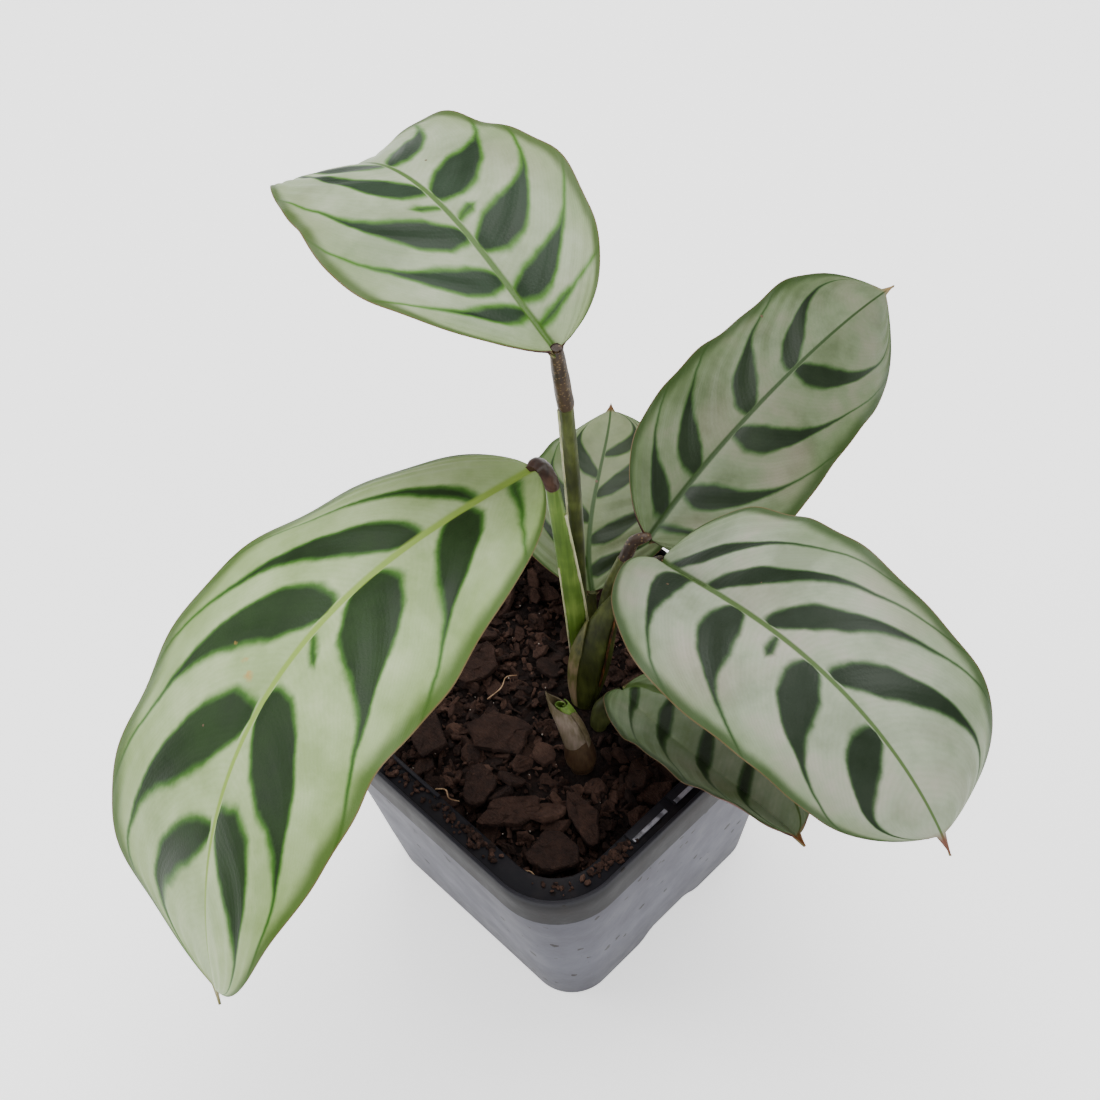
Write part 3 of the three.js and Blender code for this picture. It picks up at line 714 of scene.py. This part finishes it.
cone = wrap("shoot_sheath", sheath_path, STEM_BROAD, -20, -400, (0.0, 0.28), shoot_mouth, 50, 90, 0.2)
finish_piece(cone, stalk_material("purplish_shoot_sheath", "#443a26", "#5f553c", "#85776a", 0.3),
             ["shoot_sheath"])
roll_path = [(11.9, -6.2, 56.0, 1.5, 1.4), (10.6, -6.1, 59.6, 1.6, 1.45), (9.2, -6.1, 62.6, 1.3, 1.2),
             (8.1, -6.4, 65.6, 0.8, 0.7)]
rolled = wrap("rolled_leaf", roll_path, STEM_BROAD, 60, -420, (0.45, -0.35),
              lambda turn: 0.93 - 0.04 * math.cos(math.radians(turn)),
              40, 90, 0.16)
finish_piece(rolled, fresh, ["shoot_leaf"])


# ---------------------------------------------------------------- leaf blades
# Six oval blades, each a satin silver-green with dark feather marks that spring from the midrib in turn on
# either side, a green midrib sunk in the upper face and raised below, gently wavy margins, a dark
# green rim with a fine red-brown edge, a drip tip, and a dull wine-red underside.
def blended(values, u):
    """Values given from the blade's foot to its tip, blended by Bernstein polynomials."""
    d = len(values) - 1
    return sum(value * math.comb(d, i) * (1 - u) ** (d - i) * u ** i for i, value in enumerate(values))


TIP_ROWS = 10  # rows of the grid that make the drip tip
BEND_STEPS = 16  # steps in which a half blade bends from the midrib out
PLEAT = 0.14  # mm that the blade rises and falls between its side veins


def leaf_blade(name, leaf, rows=130, columns=61):
    """Upper surface of one blade as a grid, with its leaf coordinates, built like the solid it replaces."""
    middle = leaf.get("middle", 0.0)  # where the midrib runs, when one half is broader
    u = np.concatenate([(1 - np.cos(np.linspace(0.02, math.pi - 0.10, rows - TIP_ROWS))) / 2,
                        np.linspace(1.0, 1.0 + leaf.get("tip", 2.6) / leaf["length"], TIP_ROWS)])
    held = np.minimum(u, 1)  # along the drip tip the last values of the blade hold
    v = np.sin(np.linspace(-1, 1, columns) * math.pi / 2 * 0.92) / math.sin(math.pi / 2 * 0.92)
    fine = np.linspace(0, u[-1], 400)
    inside = np.minimum(fine, 1)
    heading, pitch = (np.radians(blended(leaf[key], inside)) for key in ("heading", "pitch"))
    direction = np.column_stack([np.cos(pitch) * np.cos(heading), np.cos(pitch) * np.sin(heading),
                                 np.sin(pitch)])
    steps = (direction[1:] + direction[:-1]) / 2 * (fine[1] * leaf["length"])
    line = np.vstack([np.zeros(3), np.cumsum(steps, axis=0)]) + leaf["foot"]
    midrib = np.column_stack([np.interp(u, fine, line[:, k]) for k in range(3)])
    travel = np.column_stack([np.interp(u, fine, direction[:, k]) for k in range(3)])
    turn = np.radians(blended(leaf["heading"], held))
    roll = np.radians(blended(leaf["roll"], held))
    level = np.column_stack([np.sin(turn), -np.cos(turn), 0 * turn])
    upward = np.cross(level, travel)
    right = level * np.cos(roll)[:, None] + upward * np.sin(roll)[:, None]
    up = upward * np.cos(roll)[:, None] - level * np.sin(roll)[:, None]
    foot, tip = leaf["full"]
    body = np.where(u < 0.5, np.sqrt(1 - np.clip(1 - 2 * u, 0, 1) ** foot),
                    np.sqrt(1 - np.clip(2 * u - 1, 0, 1) ** tip))
    drip = np.clip((u[-1] - u) / (u[-1] - 0.96), 0, 1) ** 1.3 * 1.9 * (u > 0.9) + 0.06
    grid, flat = np.zeros((len(u), columns, 3)), np.zeros((len(u), columns))
    phase = leaf["length"] * 0.37
    for j, across in enumerate(v):
        side, sign = ("right", 1) if across >= 0 else ("left", -1)
        wavy = 1 + leaf.get("wavy", 0.007) * (np.sin(19 * u + phase * sign) + 0.6 * np.sin(41 * u + phase))
        half = np.maximum(body * blended(leaf["half"][side], held) * wavy, drip)
        lift = blended(leaf["lift"][side], held)
        curl = blended(leaf["curl"][side], held)
        reach = abs(across)
        out, rise = np.zeros(len(u)), np.zeros(len(u))
        for k in range(BEND_STEPS):
            bend = np.radians(lift + curl * reach * (k + 0.5) / BEND_STEPS)
            out += np.cos(bend) * half * reach / BEND_STEPS
            rise += np.sin(bend) * half * reach / BEND_STEPS
        vein = u - 0.12 * reach - 0.26 * reach ** 3
        pleats = PLEAT * np.cos(2 * math.pi * leaf["veins"] * vein)
        rise += pleats * min(1, 3 * reach) * (1 - reach ** 6) * np.minimum(1, body * 1.4)
        rise += (0.75 * np.sin(17 * u + 1.3 * sign + phase) + 0.3
                 * np.sin(39 * u + phase)) * reach ** 4 * body
        rise -= 0.42 * np.exp(-(half * (across - middle) / 0.75) ** 2) * np.clip(1.15 - u, 0.15, 1)
        grid[:, j] = midrib + right * (sign * out)[:, None] + up * rise[:, None]
        flat[:, j] = half * (across - middle)
    rib = 0.32 + 0.75 * np.exp(-(flat / 0.95) ** 2) * np.clip(1.1 - u, 0.1, 1)[:, None]
    rib *= np.minimum(1, 0.25 + np.abs(np.abs(v) - 1) * 12)[None, :]
    blade = thick_sheet(name, grid, rib, sharp=75)
    mesh = blade.data
    size = len(u) * columns
    leaf_uv, ruler = mesh.uv_layers.new(name="leaf"), mesh.uv_layers.new(name="millimetres")
    index = np.zeros(len(mesh.loops), int)
    mesh.loops.foreach_get("vertex_index", index)
    shifted = np.where(v > middle, (v - middle) / (1 - middle), (v - middle) / (1 + middle))
    uu, vv, mm = np.repeat(u, columns), np.tile(shifted, len(u)), flat.ravel()
    at = index % size
    leaf_uv.data.foreach_set("uv", np.column_stack([uu[at], 0.5 + 0.5 * vv[at]]).ravel())
    ruler.data.foreach_set("uv", np.column_stack([uu[at] * leaf["length"] / 100, 0.5 + mm[at] / 100]).ravel())
    return blade


# One feather mark: it leaves the midrib at `Start`, leans and sweeps towards the tip as it runs out to the
# margin, and is `Width` wide each side of its centre line, thinning to a line. Gives a signed distance.
feather = bpy.data.node_groups.new("feather_mark", "ShaderNodeTree")
for label in ("Along", "Side", "Taper", "Away", "Start", "Lean", "Sweep", "Width"):
    feather.interface.new_socket(label, in_out="INPUT", socket_type="NodeSocketFloat")
feather.interface.new_socket("Distance", in_out="OUTPUT", socket_type="NodeSocketFloat")
given = add(feather, "NodeGroupInput").outputs
cubed = maths(feather, "POWER", given["Side"], 3.0)
leaning = maths(feather, "MULTIPLY_ADD", given["Side"], given["Lean"], given["Start"])
centre = maths(feather, "MULTIPLY_ADD", cubed, given["Sweep"], leaning)
off = maths(feather, "ABSOLUTE", maths(feather, "SUBTRACT", given["Along"], centre))
wide = maths(feather, "MULTIPLY", given["Width"], given["Taper"])
bare = maths(feather, "SUBTRACT", off, wide)
add(feather, "NodeGroupOutput", inputs={"Distance": maths(feather, "ADD", bare, given["Away"])})


# how wide a mark is along its length, from the midrib at 0 to the margin at 1, in parts of its width
MARK_TAPER = [(0.0, 0.42), (0.07, 0.80), (0.20, 1.28), (0.38, 1.30), (0.54, 0.86), (0.68, 0.34),
              (0.80, 0.13), (0.97, 0.09)]


def leaf_upper(name, leaf):
    """Living leaf, upper face: a smooth cuticle with a soft satin gloss over cells in two greens."""
    material, tree = new_material(name)
    spot = add(tree, "UVMap", {"uv_map": "leaf"})
    parts = add(tree, "SeparateXYZ", inputs={0: spot})
    ruler = add(tree, "UVMap", {"uv_map": "millimetres"})
    place = add(tree, "TexCoord").outputs["Object"]
    wobble = noise_at(tree, ruler, 16.0, 4.0, 0.55)
    nudge = maths(tree, "MULTIPLY_ADD", wobble, 0.028, -0.014)
    along = maths(tree, "ADD", parts.outputs["X"], nudge)
    signed = maths(tree, "MULTIPLY_ADD", parts.outputs["Y"], 2.0, -1.0)
    across_mm = maths(tree, "ABSOLUTE", maths(tree, "MULTIPLY_ADD",
                                              add(tree, "SeparateXYZ", inputs={0: ruler}).outputs["Y"], 100.0,
                                              -50.0))
    reach = maths(tree, "ABSOLUTE", signed)

    nearest = None
    for sign, marks in ((1, leaf["marks_right"]), (-1, leaf["marks_left"])):
        side = add(tree, "Math", {"operation": "MULTIPLY", "use_clamp": True}, {0: signed, 1: float(sign)})
        taper = tone_ramp(tree, side, MARK_TAPER)
        away = stretch(tree, side, 0.0, 0.03, 0.06, 0.0)
        short = stretch(tree, side, 0.16, 0.34, 0.0, 0.05)
        short = maths(tree, "ADD", short, away)
        for start, lean, sweep, width in marks:
            dash = width < 0.012 and start > 0.3
            mark = add(tree, "Group", {"node_tree": feather}, {
                "Along": along, "Side": side, "Taper": taper, "Away": short if dash else away,
                "Start": start, "Lean": lean, "Sweep": sweep, "Width": width})
            nearest = mark if nearest is None else maths(tree, "MINIMUM", nearest, mark)

    # pale ground, cloudy, greener towards the margin and the foot
    cloud = noise_at(tree, ruler, 9.0, 5.0, 0.6)
    ground = tone_ramp(tree, cloud, [(0.36, leaf["ground"][0]), (0.52, leaf["ground"][1]),
                                     (0.68, leaf["ground"][2])])
    flush = noise_at(tree, ruler, 5.0, 2.0)
    flushed = stretch(tree, flush, 0.52, 0.72, 0.0, leaf.get("flush", 0.2))
    ground = mix_colours(tree, flushed, ground, colour("#9a8580"))
    outer = stretch(tree, reach, 0.62, 1.0, 0.0, 0.55)
    shade = mix_colours(tree, outer, ground, colour(leaf["green"]))
    footed = stretch(tree, along, 0.10, 0.0, 0.0, 0.45)
    shade = mix_colours(tree, footed, shade, colour(leaf["green"]))

    # fine side veins that follow the marks, about 1 mm apart
    sweep_out = maths(tree, "MULTIPLY_ADD", maths(tree, "POWER", reach, 3.0), -0.26, along)
    vein_at = maths(tree, "MULTIPLY_ADD", reach, -0.12, sweep_out)
    veins = maths(tree, "SINE", maths(tree, "MULTIPLY", vein_at, 2 * math.pi * leaf["length"] / 1.15))
    veined = stretch(tree, veins, -1.0, 1.0, 0.0, 0.07)
    shade = mix_colours(tree, veined, shade, colour(leaf["green"]))

    # soft green fringe, then the dark mark itself
    fringe = stretch(tree, nearest, 0.014, -0.005, 0.0, 0.92, smooth=True)
    shade = mix_colours(tree, fringe, shade, colour(leaf["fringe"]))
    dark = stretch(tree, nearest, 0.002, leaf.get("soft", -0.012), 0.0, 0.97, smooth=True)
    depth = tone_ramp(tree, cloud, [(0.35, leaf["mark"][0]), (0.65, leaf["mark"][1])])
    shade = mix_colours(tree, dark, shade, depth)

    # midrib, rim and edge
    rib_width = stretch(tree, along, 0.0, 1.0, leaf.get("rib_half", 0.6), 0.2)
    rib = stretch(tree, maths(tree, "DIVIDE", across_mm, rib_width), 1.35, 0.55, 0.0, 0.9, smooth=True)
    shade = mix_colours(tree, rib, shade, colour(leaf["rib"]))
    rim_noise = maths(tree, "MULTIPLY_ADD", wobble, 0.05, reach)
    rim = stretch(tree, rim_noise, leaf.get("rim_from", 0.91), 0.985, 0.0, 0.88, smooth=True)
    shade = mix_colours(tree, rim, shade, colour(leaf["rim"]))
    edge = stretch(tree, reach, 0.985, 0.998, 0.0, 0.75)
    shade = mix_colours(tree, edge, shade, colour("#6e5038"))
    drip = stretch(tree, parts.outputs["X"], 0.99, 1.012, 0.0, 0.9)
    shade = mix_colours(tree, drip, shade, colour(leaf.get("drip", "#8a7048")))

    # dry scars where the blade was nicked, and dust
    torn = add(tree, "Mix", {"data_type": "VECTOR"}, {"Factor": 0.012, "A": ruler,
                                                      "B": noise_at(tree, ruler, 90.0, 2.0).outputs["Color"]})
    for along_mm, aside_mm, size_mm in leaf.get("scars", ()):
        gap = add(tree, "VectorMath", {"operation": "DISTANCE"},
                  {0: torn, 1: (along_mm / 100, 0.5 + aside_mm / 100, 0.0)})
        scar = stretch(tree, gap.outputs["Value"], size_mm / 100, 0.5 * size_mm / 100, 0.0, 0.8)
        shade = mix_colours(tree, scar, shade, colour("#b98a45"))
    dust = add(tree, "TexVoronoi", inputs={"Vector": place, "Scale": 330.0})
    dust_size = stretch(tree, add(tree, "SeparateColor", inputs={0: dust.outputs["Color"]}).outputs["Green"],
                        1.0 - leaf.get("dust", 0.05), 1.0, 0.0, 0.13)
    dusty = maths(tree, "LESS_THAN", dust.outputs["Distance"], dust_size)
    shade = mix_colours(tree, dusty, shade, colour("#5c4a38"))
    satin = stretch(tree, cloud, 0.3, 0.7, 0.40, 0.54)
    skin_cells = noise_at(tree, ruler, 260.0, 2.0)
    relief = maths(tree, "MULTIPLY_ADD", veins, 0.12, skin_cells)
    bump = bumped(tree, relief, 0.2, 0.0002)
    finish_material(tree, Base_Color=shade, Roughness=satin, Normal=bump, IOR=1.43, Specular_IOR_Level=0.25)
    return material


# Underside: duller, wine-red over green, with the midrib and side veins raised and paler.
underside, tree = new_material("wine_red_leaf_underside")
ruler = add(tree, "UVMap", {"uv_map": "millimetres"})
cloud = noise_at(tree, ruler, 12.0, 5.0)
tone = tone_ramp(tree, cloud, [(0.35, "#35191d"), (0.55, "#502a2f"), (0.7, "#5f3e36")])
across_mm = maths(tree, "ABSOLUTE", maths(tree, "MULTIPLY_ADD",
                                          add(tree, "SeparateXYZ", inputs={0: ruler}).outputs["Y"], 100.0,
                                          -50.0))
rib = stretch(tree, across_mm, 1.3, 0.6, 0.0, 0.8)
tone = mix_colours(tree, rib, tone, colour("#7c7a4c"))
cells = noise_at(tree, ruler, 300.0, 3.0)
bump = bumped(tree, cells, 0.3, 0.0002)
finish_material(tree, Base_Color=tone, Roughness=0.6, Normal=bump, IOR=1.4)

# Marks are listed as start, lean, sweep and half width, all in parts of the blade's length. The values
# that shape the blades are the rounded result of a least-squares fit, and the starts of most marks were
# computed as well: neither was chosen by hand.
LEAVES = {
    "leaf_top": dict(
        foot=(5.5, 2, 143), length=69, full=(2.6, 2.8), veins=13, tip=2.2,
        heading=(172, 163, 190), pitch=(21, 23, -17, -72), roll=(1, 11, -23),
        half=dict(left=(16, 25, 17.5, 13.5), right=(18, 22, 13, 12.5)),
        lift=dict(left=(25, -13, 26), right=(26, 3, -6)), curl=dict(left=(12, -22, -23), right=(-32, -3, 42)),
        ground=("#849272", "#97a384", "#a9b198"), green="#68803c", fringe="#3a6e04",
        mark=("#142312", "#233323"),
        rib="#3a5c12", rim="#3c521f", soft=-0.016,
        marks_right=[(0.06, 0.03, 0.05, 0.009), (0.14, 0.02, 0.20, 0.032), (0.28, 0.03, 0.22, 0.042),
                     (0.45, 0.05, 0.12, 0.042), (0.36, 0.04, 0.2, 0.010), (0.63, 0.06, 0.1, 0.032)],
        marks_left=[(0.10, 0.02, 0.16, 0.022), (0.19, 0.05, 0.28, 0.036), (0.32, 0.12, 0.34, 0.040),
                    (0.41, 0.14, 0.2, 0.010), (0.48, 0.20, 0.9, 0.038), (0.64, 0.2, 0.5, 0.03)]),
    "leaf_front": dict(
        foot=(-1, 1, 113.5), length=100, full=(2.8, 3.2), veins=14, tip=3.5,
        heading=(-101, -91, -40), pitch=(0, 5, -27, -65), roll=(0, 16, -49),
        half=dict(left=(20.5, 21, 26.5, 17), right=(17.5, 19, 29, 29.5)),
        lift=dict(left=(20, -6, 29), right=(22, 11, -13)),
        curl=dict(left=(-13, -39, -42), right=(-64, -44, 16)),
        ground=("#8da26c", "#a0b380", "#b0c092"), green="#6d8a3a", fringe="#2a6200",
        mark=("#122408", "#1f3514"),
        rib_half=0.72, rib="#84a03f", rim="#3a5617", drip="#7d7030", soft=-0.014, flush=0.0, rim_from=0.87,
        wavy=0.014,
        scars=((50.0, 9.0, 0.7), (51.4, 6.4, 0.8), (53.0, 4.0, 1.1)),
        marks_right=[(0.10, 0.12, 0.2, 0.013), (0.22, 0.18, 0.2, 0.036), (0.39, 0.14, 0.24, 0.042),
                     (0.58, 0.16, 0.18, 0.047), (0.75, 0.14, 0.2, 0.028)],
        marks_left=[(0.04, 0.03, 0.05, 0.007), (0.14, 0.09, 0.22, 0.040), (0.32, 0.12, 0.28, 0.056),
                    (0.43, 0.20, 0.2, 0.007), (0.55, 0.20, 0.2, 0.052), (0.73, 0.14, 0.24, 0.040)]),
    "leaf_back": dict(
        foot=(3.5, 21.5, 81), length=73, full=(2.8, 3.5), veins=12,
        heading=(102, 89, 93), pitch=(6, 7, 9, -13), roll=(-21, -5, -10),
        half=dict(left=(16.5, 16.5, 10, 19), right=(21.5, 19.5, 13.5, 20.5)),
        lift=dict(left=(27, 7, -19), right=(3, -5, -50)), curl=dict(left=(7, 11, 25), right=(-30, -16, -4)),
        ground=("#546044", "#657155", "#747662"), green="#4a6130", fringe="#2b4a1a",
        mark=("#0f1b09", "#1c2915"),
        rib="#223a10", rim="#2a3f15", tip=3.2, flush=0.35, rim_from=0.86,
        marks_right=[(0.04, 0.06, 0.1, 0.010), (0.16, 0.06, 0.36, 0.034), (0.37, 0.07, 0.5, 0.038),
                     (0.62, 0.08, 0.5, 0.034)],
        marks_left=[(0.08, 0.06, 0.22, 0.030), (0.22, 0.10, 0.2, 0.034), (0.44, 0.13, 0.22, 0.036),
                    (0.61, 0.2, 0.36, 0.036)]),
    "leaf_side": dict(
        foot=(12, 15.5, 88), length=73, full=(2.7, 3.7), veins=12, tip=3.4,
        heading=(-16, -4, -13), pitch=(29, 31, 3, -45), roll=(3, -26, -5),
        half=dict(left=(19.5, 19.5, 16.5, 24.5), right=(18, 22, 13.5, 19.5)),
        lift=dict(left=(33, 19, -10), right=(36, -10, -24)),
        curl=dict(left=(-13, -38, -35), right=(-2, -22, -20)),
        ground=("#7f8a72", "#929b85", "#a19e91"), green="#5f7843", fringe="#2a4a1e",
        mark=("#13200f", "#222c1f"),
        rib="#3c571e", rim="#2d431b", drip="#6d4034", flush=0.4, rim_from=0.89,
        marks_right=[(0.13, 0.02, 0.24, 0.034), (0.33, 0.05, 0.22, 0.040), (0.46, 0.08, 0.1, 0.010),
                     (0.57, 0.06, 0.30, 0.042), (0.76, 0.10, 0.36, 0.038)],
        marks_left=[(0.05, 0.26, 0.3, 0.026), (0.21, 0.34, 0.2, 0.032), (0.42, 0.28, 0.16, 0.034),
                    (0.62, 0.24, 0.24, 0.038)]),
    "leaf_low": dict(
        foot=(10.5, 6.5, 57.5), length=47, full=(2.2, 3.3), veins=10, tip=2.4, middle=-0.5,
        heading=(-16, 3, -13), pitch=(14, 13, 16, 15), roll=(0, 4, 10),
        half=dict(left=(12.5, 13.5, 12.5, 11), right=(11, 14.5, 11.5, 12)),
        lift=dict(left=(35, 33, 36), right=(34, 37, 46)), curl=dict(left=(3, 1, 1), right=(10, -3, -14)),
        ground=("#657850", "#78886a", "#8a967c"), green="#4c6a2c", fringe="#2b4a1a",
        mark=("#16230f", "#25321b"),
        rib="#40591f", rim="#2a4012", drip="#7f4a20", soft=-0.02,
        marks_right=[(0.04, 0.10, 0.34, 0.022), (0.22, 0.14, 0.36, 0.030), (0.44, 0.16, 0.36, 0.030),
                     (0.66, 0.14, 0.32, 0.024)],
        marks_left=[(0.18, 0.05, 0.3, 0.044), (0.40, 0.08, 0.3, 0.046), (0.62, 0.10, 0.3, 0.042)]),
    "leaf_hind": dict(
        foot=(-7.5, 17.5, 59.5), length=39, full=(2.4, 2.9), veins=9, tip=2.0, dust=0.16,
        heading=(145, 109, 131), pitch=(23, 20, 8, -1), roll=(-10, 1, -1),
        half=dict(left=(12, 20, 13.5, 8.5), right=(12.5, 20, 15.5, 12.5)),
        lift=dict(left=(21, 4, -9), right=(8, 4, -10)), curl=dict(left=(8, -9, -20), right=(-8, -9, -14)),
        ground=("#5a6745", "#6b7756", "#798261"), green="#50693a", fringe="#35531e",
        mark=("#15220d", "#233118"),
        rib="#24400f", rim="#2f4719", drip="#5c3a1e",
        marks_right=[(0.10, 0.08, 0.2, 0.040), (0.25, 0.18, 0.4, 0.044), (0.49, 0.34, 0.5, 0.046),
                     (0.72, 0.2, 0.4, 0.03)],
        marks_left=[(0.14, 0.12, 0.5, 0.040), (0.36, 0.2, 0.4, 0.042), (0.60, 0.24, 0.4, 0.040)]),
}
for name, leaf in LEAVES.items():
    blade = leaf_blade(name.replace("leaf", "blade"), leaf)
    finish_piece(blade, leaf_upper(name.replace("leaf_", "satin_leaf_"), leaf), [name])
    blade.data.materials.append(underside)
    upper_points = len(blade.data.vertices) // 2
    blade.data.polygons.foreach_set("material_index", [
        int(min(face.vertices) >= upper_points) for face in blade.data.polygons])


# ---------------------------------------------------------------- studio
# A plain pale sweep and large soft lamps overhead, for looking at the plant.
floor_half = 6000  # mm
floor_corners = [(x * floor_half, y * floor_half) for x, y in ((-1, -1), (1, -1), (1, 1), (-1, 1))]
floor = skin("studio_floor", [[(x, y, z) for x, y in floor_corners] for z in (-0.4, -0.1)])
material, tree = new_material("pale_paper")
finish_material(tree, Base_Color=colour("#f4f4f4"), Roughness=0.9, Emission_Color=colour("#ffffff"),
                Emission_Strength=1.1)
floor.data.materials.append(material)


def lamp(name, at, aim, size, power):
    light = bpy.data.objects.new(name, bpy.data.lights.new(name, "AREA"))
    light.data.size, light.data.energy = size, power
    light.location = at
    light.rotation_euler = (Vector(aim) - Vector(at)).to_track_quat("-Z", "Y").to_euler()
    bpy.context.collection.objects.link(light)


lamp("overhead", (-0.15, 0.25, 1.1), (0, 0, 0.08), 0.8, 15)
lamp("left_front", (-0.7, -0.6, 0.8), (0, 0, 0.08), 0.6, 5)
lamp("right_front", (0.9, -0.2, 0.6), (0, 0, 0.06), 0.6, 2.5)
world = bpy.data.worlds.new("studio")
world.use_nodes = True
world.node_tree.nodes["Background"].inputs["Color"].default_value = (1, 1, 1, 1)
world.node_tree.nodes["Background"].inputs["Strength"].default_value = 0.55
bpy.context.scene.world = world
